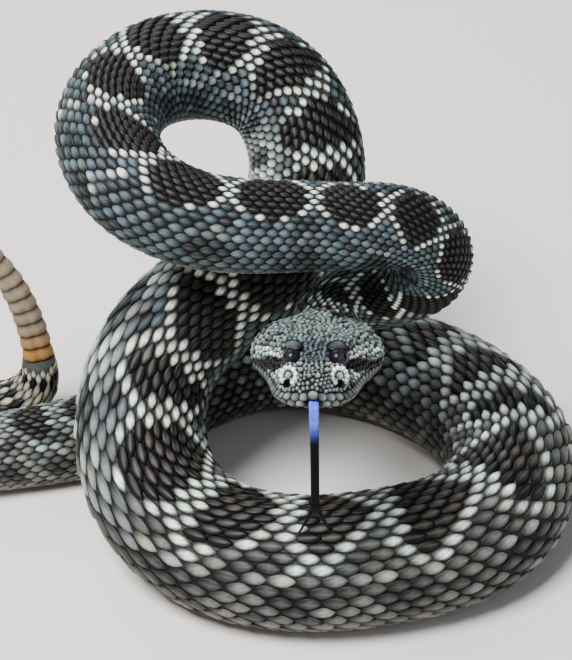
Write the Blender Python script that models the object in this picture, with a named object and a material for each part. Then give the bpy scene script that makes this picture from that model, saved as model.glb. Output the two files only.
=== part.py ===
"""A western diamondback rattlesnake, coiled and raised to strike, at life size.

Metres, +Z up, the floor at z = 0 and the origin under the middle of the coil. The snake faces -Y.
The driving sizes below are in millimetres. Distances along the body run from the rattle to the nape.
"""
import math

import bmesh
import bpy
import numpy as np
from mathutils import Matrix, Vector

MM = 0.001

# Fine clearance between neighbours that touch
GAP = 0.3

# Where the middle of the footprint lies in the route's own grid
MIDDLE = (0.0, -1.0)

# Route of the middle of the body, from the tail's tip to the middle of the head: x, y and height.
# A height of None means that the belly rests on the floor there.
ROUTE = [
    (-42.8, 46, 29.5), (-43, 46, 20), (-51, 45, 10.5), (-74, 47, None), (-97, 55, None),
    (-119, 56, None), (-128, 35, None), (-108, 13.5, None), (-77, 13.3, None), (-48, 19, None),
    (-24, 26, None), (0, 41, None), (26, 59, None), (57, 62, None), (87, 51, None),
    (109, 30, None), (118, 2, None), (106, -27, None), (78, -41, None), (47, -45, None),
    (18, -37, 20), (-1, -19, 27), (-6, -1, 41), (1, 15, 59), (19, 23, 75),
    (37, 29, 89), (48, 40, 104), (48, 50, 120), (38, 60, 134), (16, 63, 141),
    (-6, 51, 143), (-15, 24, 142), (-5, 0, 138), (17, -11, 134), (43, -12, 133),
    (61, -12, 133), (76, -11, 132), (87, -10, 125), (89, -8, 113), (82, -5, 103),
    (69, -1, 96), (59, -4, 92), (54, -13, 91), (52.4, -26, 95), (51.8, -44, 107),
]

# Half width of the body: distance from the tail's tip, half width
GIRTH = [
    (0, 6.3), (11, 7.7), (24, 8.7), (71, 11.1), (150, 12.7), (232, 14.7), (325, 19.6), (417, 22.5),
    (495, 22.9), (570, 22.4), (669, 20.0), (730, 18.8), (808, 17.0), (860, 15.7), (910, 13.9),
    (945, 12.3), (985, 11.5), (1035, 12.3),
]

# Which way the back faces: distance from the tail's tip, direction
BACK = [
    (0, (-1.0, -0.2, 0.1)), (24, (-0.5, 0.0, 0.85)), (48, (0.0, 0.0, 1.0)), (300, (0.0, 0.0, 1.0)),
    (525, (0.0, 0.0, 1.0)), (560, (0.2, -0.35, 0.9)), (595, (0.31, -0.73, 0.61)),
    (645, (0.35, -0.72, 0.60)), (685, (0.30, -0.85, 0.44)), (730, (0.47, -0.47, 0.75)),
    (760, (0.0, -0.3, 0.95)), (779, (-0.05, -0.15, 1.0)), (808, (0.15, 0.0, 1.0)),
    (860, (0.0, -0.05, 1.0)), (900, (0.0, -0.2, 0.98)), (920, (0.2, -0.6, 0.8)),
    (945, (0.6, -0.78, 0.1)), (970, (0.0, -0.8, 0.6)), (995, (0.05, -0.1, 1.0)),
    (1011, (0.0, 0.45, 0.89)),
]

# Section of the body, as shares of its half width
BELLY_DROP = 0.86
REST_HEIGHT = 0.84
BACK_HEIGHT = 0.97
LOW_SPREAD = 0.05
BODY_SIDES = 18

# Lengths that the body is parted into: a straight one is at most LONGEST, and a bent one is shorter
VENT = 75.0
NECK_LENGTH = 50.0
LONGEST = 115.0
SHARPEST = math.radians(108)
RING_SPACING = 8.5
RING_TURN = math.radians(17)

# Samples along the middle line
LINE_POINTS = 4000

# The head: distance from the nape, height of the crown, then half width and height of the brow, the
# temple, the cheek, the lip and the jaw, and the height of the chin
HEAD_LENGTH = 54.4
HEAD = [
    (0.0, 11.9, (6.6, 10.5), (10.9, 6.5), (12.2, 0.3), (11.2, -4.8), (7.4, -9.2), -10.4),
    (6.0, 11.6, (8.8, 11.0), (15.0, 8.6), (17.3, 2.6), (15.8, -3.6), (10.4, -8.9), -10.0),
    (13.0, 11.0, (9.8, 10.8), (17.4, 8.2), (20.4, 2.4), (18.8, -3.4), (12.8, -8.5), -9.6),
    (20.0, 10.4, (9.8, 10.4), (15.8, 7.2), (18.9, 1.8), (17.8, -3.7), (12.3, -8.2), -9.2),
    (28.0, 9.9, (9.2, 10.1), (12.0, 6.4), (15.2, 0.9), (15.6, -3.9), (10.8, -7.8), -8.7),
    (35.0, 8.9, (7.8, 9.2), (9.0, 5.4), (11.9, 0.2), (14.4, -3.9), (10.2, -7.4), -8.2),
    (41.0, 7.6, (5.4, 7.3), (7.4, 4.0), (10.6, -0.5), (13.5, -3.9), (9.5, -7.2), -7.7),
    (47.0, 6.2, (4.6, 5.6), (7.2, 3.4), (9.6, -0.7), (12.0, -3.9), (8.3, -6.8), -7.1),
    (51.0, 4.8, (4.0, 4.4), (6.1, 2.4), (8.0, -1.1), (10.2, -3.9), (6.9, -6.3), -6.6),
    (53.4, 3.1, (3.0, 2.7), (4.5, 1.1), (6.1, -1.4), (7.7, -3.9), (5.1, -5.7), -6.0),
    (54.4, 1.1, (1.8, 0.8), (2.6, -0.2), (3.6, -1.8), (4.6, -3.8), (3.0, -5.0), -5.2),
]
HEAD_RINGS = 22
HEAD_CROWDING = 1.25
HEAD_STEPS = 2

# Line of the mouth, seen from the side: distance from the nape and height, snout first
MOUTH = [(60, -3.9), (47, -3.9), (35, -3.9), (28, -3.9), (20, -3.7), (15, -3.3), (12.5, -4.6), (11, -14)]
MOUTH_GAP = 0.45
MOUTH_PLATE = 60.0

# Places on the right side of the head: side, distance from the nape, height
EYE_RADIUS = 2.9
EYE_PLACE = (6.9, 36.5, 5.6)
EYE_DETAIL = (14, 10)
SOCKET_DETAIL = (16, 12)
BROW_SIZE = (2.5, 6.0, 1.1)
BROW_PLACE = (7.3, 35.0, 9.5)
BROW_TILT = math.radians(14)
BROW_DETAIL = (14, 8)
PIT_RADIUS = 1.15
PIT_DEPTH = 3.4
PIT_PLACE = (8.6, 48.8, 0.0)
PIT_FACES = (1.0, 0.8, 0.1)
NOSTRIL_RADIUS = 0.85
NOSTRIL_DEPTH = 2.2
NOSTRIL_PLACE = (5.9, 50.9, 2.2)
NOSTRIL_FACES = (0.9, 0.8, 0.25)
HOLE_SIDES = 12
HOLE_FLARE = (0.45, 1.3)

# The tongue: it leaves the lips forwards, drops ever more steeply and forks
TONGUE_ROOT = (0.0, 51.6, -3.9)
TONGUE_REACH = 11.0
TONGUE_SWAY = -1.1
TONGUE_DROP = 44.0
TONGUE_DROOP = 2.2
TONGUE_WIDTH = 3.3
TONGUE_THICK = 1.3
TONGUE_NARROWING = 0.18
TONGUE_STEPS = 12
TONGUE_SIDES = 8
TONGUE_SLOT = (4.2, 3.1)
SLOT_LENGTH = 8.0
FORK_LENGTH = 12.0
FORK_START = 0.6
FORK_SPREAD = 4.6
FORK_CURL = 1.4
FORK_WIDTH = 1.45
FORK_THICK = 1.0
FORK_TAPER = 0.7
FORK_STEPS = 5

RATTLE_SEGMENTS = 9
RATTLE_LENGTH = 51.0
RATTLE_LEAN = 11.0
RATTLE_CURL = 2.4
RATTLE_WIDTH = 11.0
RATTLE_THICK = 7.0
RATTLE_TAPER = 0.8
RATTLE_SIDES = 14
WAIST_DEPTH = 0.16
WAIST_WIDTH = 1.6

# Profile of one rattle segment: share of its length, share of its full width
SEGMENT = [(0.02, 0.86), (0.3, 1.0), (0.62, 0.97), (0.98, 0.8)]

COLOURS = {
    "skin": (0.16, 0.14, 0.10, 1.0),
    "tail": (0.42, 0.40, 0.34, 1.0),
    "head": (0.20, 0.21, 0.17, 1.0),
    "eye": (0.05, 0.04, 0.03, 1.0),
    "tongue": (0.02, 0.02, 0.04, 1.0),
    "rattle": (0.36, 0.27, 0.16, 1.0),
}
ROUGHNESS = {"skin": 0.55, "tail": 0.5, "head": 0.55, "eye": 0.08, "tongue": 0.3, "rattle": 0.45}


# The animal's left and right
SIDES = ((-1, "left"), (1, "right"))


def clear_scene():
    """Empties the start-up scene."""
    for item in list(bpy.data.objects):
        bpy.data.objects.remove(item, do_unlink=True)


def natural_curve(knots, rows, wanted):
    """Rows read from a natural cubic curve through the rows at the knots."""
    knots = np.asarray(knots, float)
    rows = np.asarray(rows, float)
    wanted = np.asarray(wanted, float)
    steps = np.diff(knots)
    slopes = np.diff(rows, axis=0) / steps[:, None]
    system = np.eye(len(knots))
    pull = np.zeros_like(rows)
    for i in range(1, len(knots) - 1):
        system[i, i - 1:i + 2] = steps[i - 1], 2 * (steps[i - 1] + steps[i]), steps[i]
        pull[i] = 6 * (slopes[i] - slopes[i - 1])
    bend = np.linalg.solve(system, pull)
    span = np.clip(np.searchsorted(knots, wanted, side="right") - 1, 0, len(knots) - 2)
    along = (wanted - knots[span])[:, None]
    width = steps[span][:, None]
    start = slopes[span] - width * (2 * bend[span] + bend[span + 1]) / 6
    cubic = (bend[span + 1] - bend[span]) / (6 * width)
    return rows[span] + along * (start + along * (bend[span] / 2 + along * cubic))


def unit(rows):
    """Rows scaled to length one."""
    return rows / np.linalg.norm(rows, axis=-1, keepdims=True)


class Spine:
    """The middle line of the body, with its half width and the way its back faces, read by distance."""

    def __init__(self):
        plan = np.array([(x, y) for x, y, z in ROUTE], float) - MIDDLE
        girth = np.array(GIRTH, float)
        leap = np.linalg.norm(np.diff(plan, axis=0), axis=1)
        rough = np.concatenate([[0], np.cumsum(leap)])
        lifted = [z for x, y, z in ROUTE]
        for attempt in range(3):
            width = np.interp(rough, girth[:, 0], girth[:, 1])
            high = [REST_HEIGHT * w if z is None else z for z, w in zip(lifted, width)]
            stations = np.column_stack([plan, high])
            rough = self.lay(stations)
        self.nape = rough[-2]

    def lay(self, stations):
        """Lays the curve through the stations and returns their distances along it."""
        chord = np.linalg.norm(np.diff(stations, axis=0), axis=1) ** 0.75
        knots = np.concatenate([[0], np.cumsum(chord)])
        fine = np.linspace(0, knots[-1], LINE_POINTS)
        line = natural_curve(knots, stations, fine)
        run = np.concatenate([[0], np.cumsum(np.linalg.norm(np.diff(line, axis=0), axis=1))])
        self.run = run
        self.line = line
        self.heading = unit(np.gradient(line, run, axis=0))
        return np.interp(knots, fine, run)

    def read(self, table, distance):
        """Row of a table of the sampled line, at a distance."""
        return np.array([np.interp(distance, self.run, table[:, i]) for i in range(3)])

    def girth(self, distance):
        """Half width of the body at a distance."""
        knots, widths = zip(*GIRTH)
        return float(natural_curve(knots, np.array(widths)[:, None], [distance])[0, 0])

    def frame(self, distance):
        """Middle, heading, side and back of the body at a distance."""
        middle = self.read(self.line, distance)
        heading = unit(self.read(self.heading, distance))
        knots, faces = zip(*BACK)
        back = np.array([np.interp(distance, knots, [face[i] for face in faces]) for i in range(3)])
        back = unit(back - heading * back.dot(heading))
        return middle, heading, np.cross(heading, back), back

    def section(self, distance, shift=0.0):
        """Ring of points round the body, starting at the back; nothing goes below the floor."""
        middle, heading, side, back = self.frame(distance)
        half = self.girth(distance)
        ring = []
        for i in range(BODY_SIDES):
            angle = 2 * math.pi * i / BODY_SIDES
            wide = half * math.sin(angle) * (1 - LOW_SPREAD * math.cos(angle))
            high = max(half * BACK_HEIGHT * math.cos(angle), -half * BELLY_DROP)
            point = middle + side * wide + back * high + heading * shift
            point[2] = max(point[2], 0.0)
            ring.append(point)
        return ring

    def turning(self):
        """Total turn of the line up to each sampled point."""
        cosines = np.clip((self.heading[1:] * self.heading[:-1]).sum(axis=1), -1, 1)
        return np.concatenate([[0], np.cumsum(np.arccos(cosines))])


def finish(name, kind):
    """A plain surface finish for one object."""
    material = bpy.data.materials.new(name + " " + kind)
    material.use_nodes = True
    shader = material.node_tree.nodes["Principled BSDF"]
    shader.inputs["Base Color"].default_value = COLOURS[kind]
    shader.inputs["Roughness"].default_value = ROUGHNESS[kind]
    shader.inputs["Metallic"].default_value = 0.0
    return material


def add_object(name, bm, kind, collection):
    """Makes an object of a bmesh whose points are in millimetres."""
    bmesh.ops.recalc_face_normals(bm, faces=bm.faces)
    bmesh.ops.scale(bm, vec=(MM, MM, MM), verts=bm.verts)
    mesh = bpy.data.meshes.new(name)
    bm.to_mesh(mesh)
    bm.free()
    mesh.shade_smooth()
    item = bpy.data.objects.new(name, mesh)
    collection.objects.link(item)
    if kind:
        item.data.materials.append(finish(name, kind))
    return item


def loft(rings):
    """A closed skin through rings of equal count, capped at both ends."""
    bm = bmesh.new()
    loops = [[bm.verts.new(point) for point in ring] for ring in rings]
    for lower, upper in zip(loops, loops[1:]):
        for i, corner in enumerate(lower):
            j = (i + 1) % len(lower)
            bm.faces.new((corner, lower[j], upper[j], upper[i]))
    bm.faces.new(loops[0])
    bm.faces.new(loops[-1])
    return bm


def settle(item):
    """Turns an object's modifiers into plain mesh."""
    depsgraph = bpy.context.evaluated_depsgraph_get()
    mesh = bpy.data.meshes.new_from_object(item.evaluated_get(depsgraph))
    item.modifiers.clear()
    item.data = mesh


def shells(item):
    """Sets of face numbers, one for each closed surface of an object, the largest first."""
    bm = bmesh.new()
    bm.from_mesh(item.data)
    left = set(bm.faces)
    found = []
    while left:
        reach = [left.pop()]
        shell = set(reach)
        while reach:
            face = reach.pop()
            for edge in face.edges:
                for other in edge.link_faces:
                    if other in left:
                        left.remove(other)
                        shell.add(other)
                        reach.append(other)
        found.append({face.index for face in shell})
    bm.free()
    return sorted(found, key=len, reverse=True)


def keep_shell(item, shell):
    """Leaves only one closed surface of an object."""
    bm = bmesh.new()
    bm.from_mesh(item.data)
    extra = [face for face in bm.faces if face.index not in shell]
    bmesh.ops.delete(bm, geom=extra, context="FACES")
    bm.to_mesh(item.data)
    bm.free()


def combine(item, tools, operation):
    """Fuses tools with an object or cuts them from it, in one Boolean on their collection."""
    group = bpy.data.collections.new(item.name + " tools")
    bpy.context.scene.collection.children.link(group)
    for tool in tools:
        group.objects.link(tool)
        tool.hide_render = True
        tool.display_type = "WIRE"
    boolean = item.modifiers.new("combine", "BOOLEAN")
    boolean.operand_type = "COLLECTION"
    boolean.collection = group
    boolean.operation = operation
    boolean.solver = "EXACT"
    settle(item)
    for tool in tools:
        bpy.data.objects.remove(tool, do_unlink=True)
    bpy.data.collections.remove(group)


def body_rings(spine, first, last):
    """Rings of one length of the body, closer where it bends."""
    turn = np.interp([first, last], spine.run, spine.turning())
    count = max(3, math.ceil((last - first) / RING_SPACING), math.ceil((turn[1] - turn[0]) / RING_TURN))
    places = np.linspace(first, last, count + 1)
    shifts = [GAP / 2] + [0.0] * (count - 1) + [-GAP / 2]
    return [spine.section(place, shift) for place, shift in zip(places, shifts)]


def cut_places(spine, first, last):
    """Distances that part a stretch into even lengths, none too long or too bent."""
    turn = np.interp([first, last], spine.run, spine.turning())
    effort = np.interp(spine.run, [first, last], [0, (last - first) / LONGEST])
    effort = np.maximum(effort, 0) + (np.clip(spine.turning(), *turn) - turn[0]) / SHARPEST
    total = np.interp(last, spine.run, effort)
    count = math.ceil(total)
    return list(np.interp(np.linspace(0, total, count + 1), effort, spine.run))


def make_body(spine, parts):
    """The tail, the lengths of the torso and the neck."""
    stretches = [("tail", 0.0, VENT, "tail"), ("body", VENT, spine.nape - NECK_LENGTH, "skin"),
                 ("neck", spine.nape - NECK_LENGTH, spine.nape, "skin")]
    for name, first, last, kind in stretches:
        places = cut_places(spine, first, last)
        places[0] = first
        places[-1] = last
        for i, (low, high) in enumerate(zip(places, places[1:])):
            rings = body_rings(spine, low, high)
            add_object(f"{name}_{i + 1:02d}", loft(rings), kind, parts)


def head_outline(distance):
    """Twelve points round the head at a distance from the nape, starting at the crown."""
    knots = [row[0] for row in HEAD]
    rows = []
    for row in HEAD:
        rows.append([row[1], *row[2], *row[3], *row[4], *row[5], *row[6], row[7]])
    values = natural_curve(knots, rows, [distance])[0]
    right = [(values[i], values[i + 1]) for i in range(1, 11, 2)]
    left = [(-wide, high) for wide, high in reversed(right)]
    return [(0.0, values[0])] + right + [(0.0, values[11])] + left


def head_section(distance, steps):
    """Ring of points round the head, in the head's own axes: side, forward and up."""
    outline = [Vector(point) for point in head_outline(distance)]
    count = len(outline)
    ring = []
    for i in range(count):
        before, here, after, beyond = (outline[(i + k) % count] for k in (-1, 0, 1, 2))
        for step in range(steps):
            u = step / steps
            bend = (2 * before - 5 * here + 4 * after - beyond) * u * u
            swing = (3 * here - before - 3 * after + beyond) * u ** 3
            wide, high = 0.5 * (2 * here + (after - before) * u + bend + swing)
            ring.append(Vector((wide, distance, high)))
    return ring


def mirrored(place, sign):
    """A place of the right side, or the same on the left side where the sign is negative."""
    return (place[0] * sign, place[1], place[2])


def head_axes(spine):
    """Matrix from the head's own axes to the route's."""
    middle, heading, side, back = spine.frame(spine.nape)
    turn = Matrix((side, heading, back)).transposed().to_4x4()
    return Matrix.Translation(Vector(middle)) @ turn


def ball(name, place, radii, detail, kind, parts, axes):
    """A ball or a flattened ball at a place in the head's axes."""
    bm = bmesh.new()
    bmesh.ops.create_uvsphere(bm, u_segments=detail[0], v_segments=detail[1], radius=1.0)
    bmesh.ops.transform(bm, matrix=axes @ Matrix.Translation(place) @ Matrix.Diagonal((*radii, 1)),
                        verts=bm.verts)
    return add_object(name, bm, kind, parts)


def hole(name, place, direction, radius, depth, parts, axes):
    """A cutter for a small round pit that narrows inwards."""
    bm = bmesh.new()
    inner, outer = HOLE_FLARE
    bmesh.ops.create_cone(bm, cap_ends=True, segments=HOLE_SIDES, radius1=radius * inner,
                          radius2=radius * outer, depth=depth)
    turn = Vector(direction).to_track_quat("Z", "Y").to_matrix().to_4x4()
    bmesh.ops.transform(bm, matrix=axes @ Matrix.Translation(place) @ turn, verts=bm.verts)
    return add_object(name, bm, None, parts)


def mouth_cutter(parts, axes):
    """A thin bent plate along the line of the mouth and down behind the jaw."""
    line = [Vector(point) for point in MOUTH]
    upper = []
    lower = []
    for i, point in enumerate(line):
        before = line[max(i - 1, 0)]
        after = line[min(i + 1, len(line) - 1)]
        along = (after - before).normalized()
        across = Vector((along.y, -along.x)) * MOUTH_GAP / 2
        upper.append(point + across)
        lower.append(point - across)
    outline = upper + lower[::-1]
    bm = bmesh.new()
    flat = bm.faces.new([bm.verts.new((-MOUTH_PLATE / 2, u, v)) for u, v in outline])
    swept = bmesh.ops.extrude_face_region(bm, geom=[flat])
    moved = [item for item in swept["geom"] if isinstance(item, bmesh.types.BMVert)]
    bmesh.ops.translate(bm, vec=(MOUTH_PLATE, 0.0, 0.0), verts=moved)
    bmesh.ops.transform(bm, matrix=axes, verts=bm.verts)
    return add_object("mouth plate", bm, None, parts)


def tongue_slot(parts, axes):
    """A cutter for the notch in the lips that the tongue comes through."""
    bm = bmesh.new()
    bmesh.ops.create_cube(bm, size=1.0)
    width, height = TONGUE_SLOT
    side, forward, up = TONGUE_ROOT
    place = Matrix.Translation((side, forward + SLOT_LENGTH / 2 - GAP, up))
    size = Matrix.Diagonal((width, SLOT_LENGTH, height, 1))
    bmesh.ops.transform(bm, matrix=axes @ place @ size, verts=bm.verts)
    return add_object("tongue slot", bm, None, parts)


def make_head(spine, parts):
    """The head with brows, pits, nostrils and eye sockets, the lower jaw and the eyes."""
    axes = head_axes(spine)
    # Rings lie closer together towards the snout
    places = [HEAD_LENGTH * (1 - (1 - i / HEAD_RINGS) ** HEAD_CROWDING) for i in range(HEAD_RINGS + 1)]
    places[0] = GAP / 2
    rings = [[axes @ point for point in head_section(place, HEAD_STEPS)] for place in places]
    head = add_object("head", loft(rings), "head", parts)
    scratch = bpy.data.collections.new("cutters")
    bpy.context.scene.collection.children.link(scratch)
    brows = []
    cutters = [mouth_cutter(scratch, axes), tongue_slot(scratch, axes)]
    room = (EYE_RADIUS + GAP,) * 3
    for sign, word in SIDES:
        tilt = Matrix.Translation(mirrored(BROW_PLACE, sign)) @ Matrix.Rotation(BROW_TILT * sign, 4, "Y")
        brows.append(ball("brow " + word, (0, 0, 0), BROW_SIZE, BROW_DETAIL, None, scratch, axes @ tilt))
        eye_place = mirrored(EYE_PLACE, sign)
        cutters.append(ball("socket " + word, eye_place, room, SOCKET_DETAIL, None, scratch, axes))
        cutters.append(hole("pit " + word, mirrored(PIT_PLACE, sign), mirrored(PIT_FACES, sign),
                            PIT_RADIUS, PIT_DEPTH, scratch, axes))
        cutters.append(hole("nostril " + word, mirrored(NOSTRIL_PLACE, sign), mirrored(NOSTRIL_FACES, sign),
                            NOSTRIL_RADIUS, NOSTRIL_DEPTH, scratch, axes))
    combine(head, brows, "UNION")
    combine(head, cutters, "DIFFERENCE")
    shell_sets = shells(head)
    jaw = head.copy()
    jaw.data = head.data.copy()
    jaw.name = "lower_jaw"
    jaw.data.materials[0] = finish("lower_jaw", "head")
    parts.objects.link(jaw)
    keep_shell(head, shell_sets[0])
    keep_shell(jaw, shell_sets[1])
    bpy.data.collections.remove(scratch)
    for sign, word in SIDES:
        ball("eye_" + word, mirrored(EYE_PLACE, sign), (EYE_RADIUS,) * 3, EYE_DETAIL, "eye", parts, axes)


def strap(points, widths, thicks, across):
    """A flat tapering strap of rounded rings along points."""
    points = [Vector(point) for point in points]
    rings = []
    for i, point in enumerate(points):
        along = (points[min(i + 1, len(points) - 1)] - points[max(i - 1, 0)]).normalized()
        side = (across - along * across.dot(along)).normalized()
        rise = side.cross(along)
        ring = []
        for k in range(TONGUE_SIDES):
            angle = 2 * math.pi * (k + 0.5) / TONGUE_SIDES
            wide = side * widths[i] / 2 * math.cos(angle)
            ring.append(point + wide + rise * thicks[i] / 2 * math.sin(angle))
        rings.append(ring)
    return loft(rings)


def make_tongue(spine, parts):
    """The forked tongue."""
    axes = head_axes(spine)
    root = axes @ Vector(TONGUE_ROOT)
    forward = axes.to_3x3() @ Vector((0, 1, 0))
    side = axes.to_3x3() @ Vector((1, 0, 0))
    down = Vector((0, 0, -1))

    def along(share):
        out = forward * TONGUE_REACH * (1 - (1 - share) ** 2)
        return root + out + side * TONGUE_SWAY * share + down * TONGUE_DROP * share ** TONGUE_DROOP

    shares = [i / TONGUE_STEPS for i in range(TONGUE_STEPS + 1)]
    stem = [along(share) for share in shares]
    narrowing = [1 - TONGUE_NARROWING * min(1, share * 1.5) for share in shares]
    widths = [TONGUE_WIDTH * value for value in narrowing]
    thicks = [TONGUE_THICK * value ** 0.5 for value in narrowing]
    tongue = add_object("tongue", strap(stem, widths, thicks, side), "tongue", parts)
    drop = (stem[-1] - stem[-2]).normalized()
    tines = []
    shares = [i / FORK_STEPS for i in range(FORK_STEPS + 1)]
    widths = [FORK_WIDTH * (1 - FORK_TAPER * share) for share in shares]
    thicks = [FORK_THICK * (1 - FORK_TAPER * share) for share in shares]
    for sign, word in SIDES:
        points = []
        for share in shares:
            spread = side * sign * (FORK_START + FORK_SPREAD * share ** FORK_CURL)
            points.append(stem[-2] + spread + drop * (FORK_LENGTH * share))
        tines.append(add_object("tine " + word, strap(points, widths, thicks, side), None, parts))
    for tine in tines:
        parts.objects.unlink(tine)
    combine(tongue, tines, "UNION")
    keep_shell(tongue, shells(tongue)[0])


def make_rattle(spine, parts):
    """The rattle: horn segments with two lobes each, one on the other."""
    middle, heading, side, back = (Vector(row) for row in spine.frame(0.0))
    start = middle - heading * GAP
    rings = []
    for segment in range(RATTLE_SEGMENTS):
        for share, size in SEGMENT:
            u = (segment + share) / RATTLE_SEGMENTS
            centre = start - heading * RATTLE_LENGTH * u + back * RATTLE_LEAN * u ** RATTLE_CURL
            bend = RATTLE_LEAN * RATTLE_CURL * u ** (RATTLE_CURL - 1)
            along = (back * bend - heading * RATTLE_LENGTH).normalized()
            across = (back - along * back.dot(along)).normalized()
            scale = size * (1 + (RATTLE_TAPER - 1) * u)
            ring = []
            for k in range(RATTLE_SIDES):
                angle = 2 * math.pi * k / RATTLE_SIDES
                wide = RATTLE_WIDTH / 2 * math.cos(angle)
                waist = 1 - WAIST_DEPTH * math.exp(-(wide / WAIST_WIDTH) ** 2)
                thick = RATTLE_THICK / 2 * math.sin(angle) * waist
                ring.append(centre + (across * wide + side * thick) * scale)
            rings.append(ring)
    add_object("rattle", loft(rings), "rattle", parts)


def main():
    clear_scene()
    parts = bpy.data.collections.new("western diamondback rattlesnake")
    bpy.context.scene.collection.children.link(parts)
    spine = Spine()
    make_body(spine, parts)
    make_head(spine, parts)
    make_tongue(spine, parts)
    make_rattle(spine, parts)


main()
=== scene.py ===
import math

import bpy
import numpy as np
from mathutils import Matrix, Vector
from mathutils.bvhtree import BVHTree


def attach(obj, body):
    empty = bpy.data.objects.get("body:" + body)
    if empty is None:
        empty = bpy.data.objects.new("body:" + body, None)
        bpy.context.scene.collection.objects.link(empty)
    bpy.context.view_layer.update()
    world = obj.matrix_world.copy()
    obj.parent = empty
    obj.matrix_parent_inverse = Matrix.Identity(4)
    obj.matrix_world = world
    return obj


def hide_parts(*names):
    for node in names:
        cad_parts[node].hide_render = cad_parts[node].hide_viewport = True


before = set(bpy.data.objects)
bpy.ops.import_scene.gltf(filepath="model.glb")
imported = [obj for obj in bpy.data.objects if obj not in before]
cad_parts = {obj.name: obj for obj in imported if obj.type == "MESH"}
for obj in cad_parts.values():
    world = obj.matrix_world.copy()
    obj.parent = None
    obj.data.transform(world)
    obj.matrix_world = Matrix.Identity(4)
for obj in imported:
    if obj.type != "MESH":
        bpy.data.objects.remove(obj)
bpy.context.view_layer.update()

MM = 0.001
BOTH_SIDES = (-1, 1)
SIDE_WORDS = ((-1, "left"), (1, "right"))

# The body's route, girth and section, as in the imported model. A station of the route without a height rests
# on the floor
MIDDLE = (0.0, -1.0)
ROUTE = [
    (-42.8, 46, 29.5), (-43, 46, 20), (-51, 45, 10.5), (-74, 47, None), (-97, 55, None),
    (-119, 56, None), (-128, 35, None), (-108, 13.5, None), (-77, 13.3, None), (-48, 19, None),
    (-24, 26, None), (0, 41, None), (26, 59, None), (57, 62, None), (87, 51, None),
    (109, 30, None), (118, 2, None), (106, -27, None), (78, -41, None), (47, -45, None),
    (18, -37, 20), (-1, -19, 27), (-6, -1, 41), (1, 15, 59), (19, 23, 75),
    (37, 29, 89), (48, 40, 104), (48, 50, 120), (38, 60, 134), (16, 63, 141),
    (-6, 51, 143), (-15, 24, 142), (-5, 0, 138), (17, -11, 134), (43, -12, 133),
    (61, -12, 133), (76, -11, 132), (87, -10, 125), (89, -8, 113), (82, -5, 103),
    (69, -1, 96), (59, -4, 92), (54, -13, 91), (52.4, -26, 95), (51.8, -44, 107),
]
GIRTH = [
    (0, 6.3), (11, 7.7), (24, 8.7), (71, 11.1), (150, 12.7), (232, 14.7), (325, 19.6), (417, 22.5),
    (495, 22.9), (570, 22.4), (669, 20.0), (730, 18.8), (808, 17.0), (860, 15.7), (910, 13.9),
    (945, 12.3), (985, 11.5), (1035, 12.3),
]
BACK = [
    (0, (-1.0, -0.2, 0.1)), (24, (-0.5, 0.0, 0.85)), (48, (0.0, 0.0, 1.0)), (300, (0.0, 0.0, 1.0)),
    (525, (0.0, 0.0, 1.0)), (560, (0.2, -0.35, 0.9)), (595, (0.31, -0.73, 0.61)),
    (645, (0.35, -0.72, 0.60)), (685, (0.30, -0.85, 0.44)), (730, (0.47, -0.47, 0.75)),
    (760, (0.0, -0.3, 0.95)), (779, (-0.05, -0.15, 1.0)), (808, (0.15, 0.0, 1.0)),
    (860, (0.0, -0.05, 1.0)), (900, (0.0, -0.2, 0.98)), (920, (0.2, -0.6, 0.8)),
    (945, (0.6, -0.78, 0.1)), (970, (0.0, -0.8, 0.6)), (995, (0.05, -0.1, 1.0)),
    (1011, (0.0, 0.45, 0.89)),
]
# Shares of the half width: the belly's drop, the middle line's height at rest, the back's height, and how
# much wider the body is below
BELLY_DROP = 0.86
REST_HEIGHT = 0.84
BACK_HEIGHT = 0.97
LOW_SPREAD = 0.05
VENT = 75.0
# How finely the curve of the middle line is laid, how often, and how its knots hang on the stations'
# distances
ROUTE_POINTS = 4000
ROUTE_TURNS = 3
CHORD_POWER = 0.75
# The girth is read no further than this past the nape
GIRTH_REACH = 20.0
# The neck turns into the head between these distances from the nape
NECK_BLEND = (-7.0, 2.0)

# The head: distance from the nape, height of the crown, then half width and height of the brow, the
# temple, the cheek, the lip and the jaw, and the height of the chin
HEAD_LENGTH = 54.4
HEAD = [
    (0.0, 11.9, (6.6, 10.5), (10.9, 6.5), (12.2, 0.3), (11.2, -4.8), (7.4, -9.2), -10.4),
    (6.0, 11.6, (8.8, 11.0), (15.0, 8.6), (17.3, 2.6), (15.8, -3.6), (10.4, -8.9), -10.0),
    (13.0, 11.0, (9.8, 10.8), (17.4, 8.2), (20.4, 2.4), (18.8, -3.4), (12.8, -8.5), -9.6),
    (20.0, 10.4, (9.8, 10.4), (15.8, 7.2), (18.9, 1.8), (17.8, -3.7), (12.3, -8.2), -9.2),
    (28.0, 9.9, (9.2, 10.1), (12.0, 6.4), (15.2, 0.9), (15.6, -3.9), (10.8, -7.8), -8.7),
    (35.0, 8.9, (7.8, 9.2), (9.0, 5.4), (11.9, 0.2), (14.4, -3.9), (10.2, -7.4), -8.2),
    (41.0, 7.6, (5.4, 7.3), (7.4, 4.0), (10.6, -0.5), (13.5, -3.9), (9.5, -7.2), -7.7),
    (47.0, 6.2, (4.6, 5.6), (7.2, 3.4), (9.6, -0.7), (12.0, -3.9), (8.3, -6.8), -7.1),
    (51.0, 4.8, (4.0, 4.4), (6.1, 2.4), (8.0, -1.1), (10.2, -3.9), (6.9, -6.3), -6.6),
    (53.4, 3.1, (3.0, 2.7), (4.5, 1.1), (6.1, -1.4), (7.7, -3.9), (5.1, -5.7), -6.0),
    (54.4, 1.1, (1.8, 0.8), (2.6, -0.2), (3.6, -1.8), (4.6, -3.8), (3.0, -5.0), -5.2),
]
HEAD_CORNERS = 12
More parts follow.
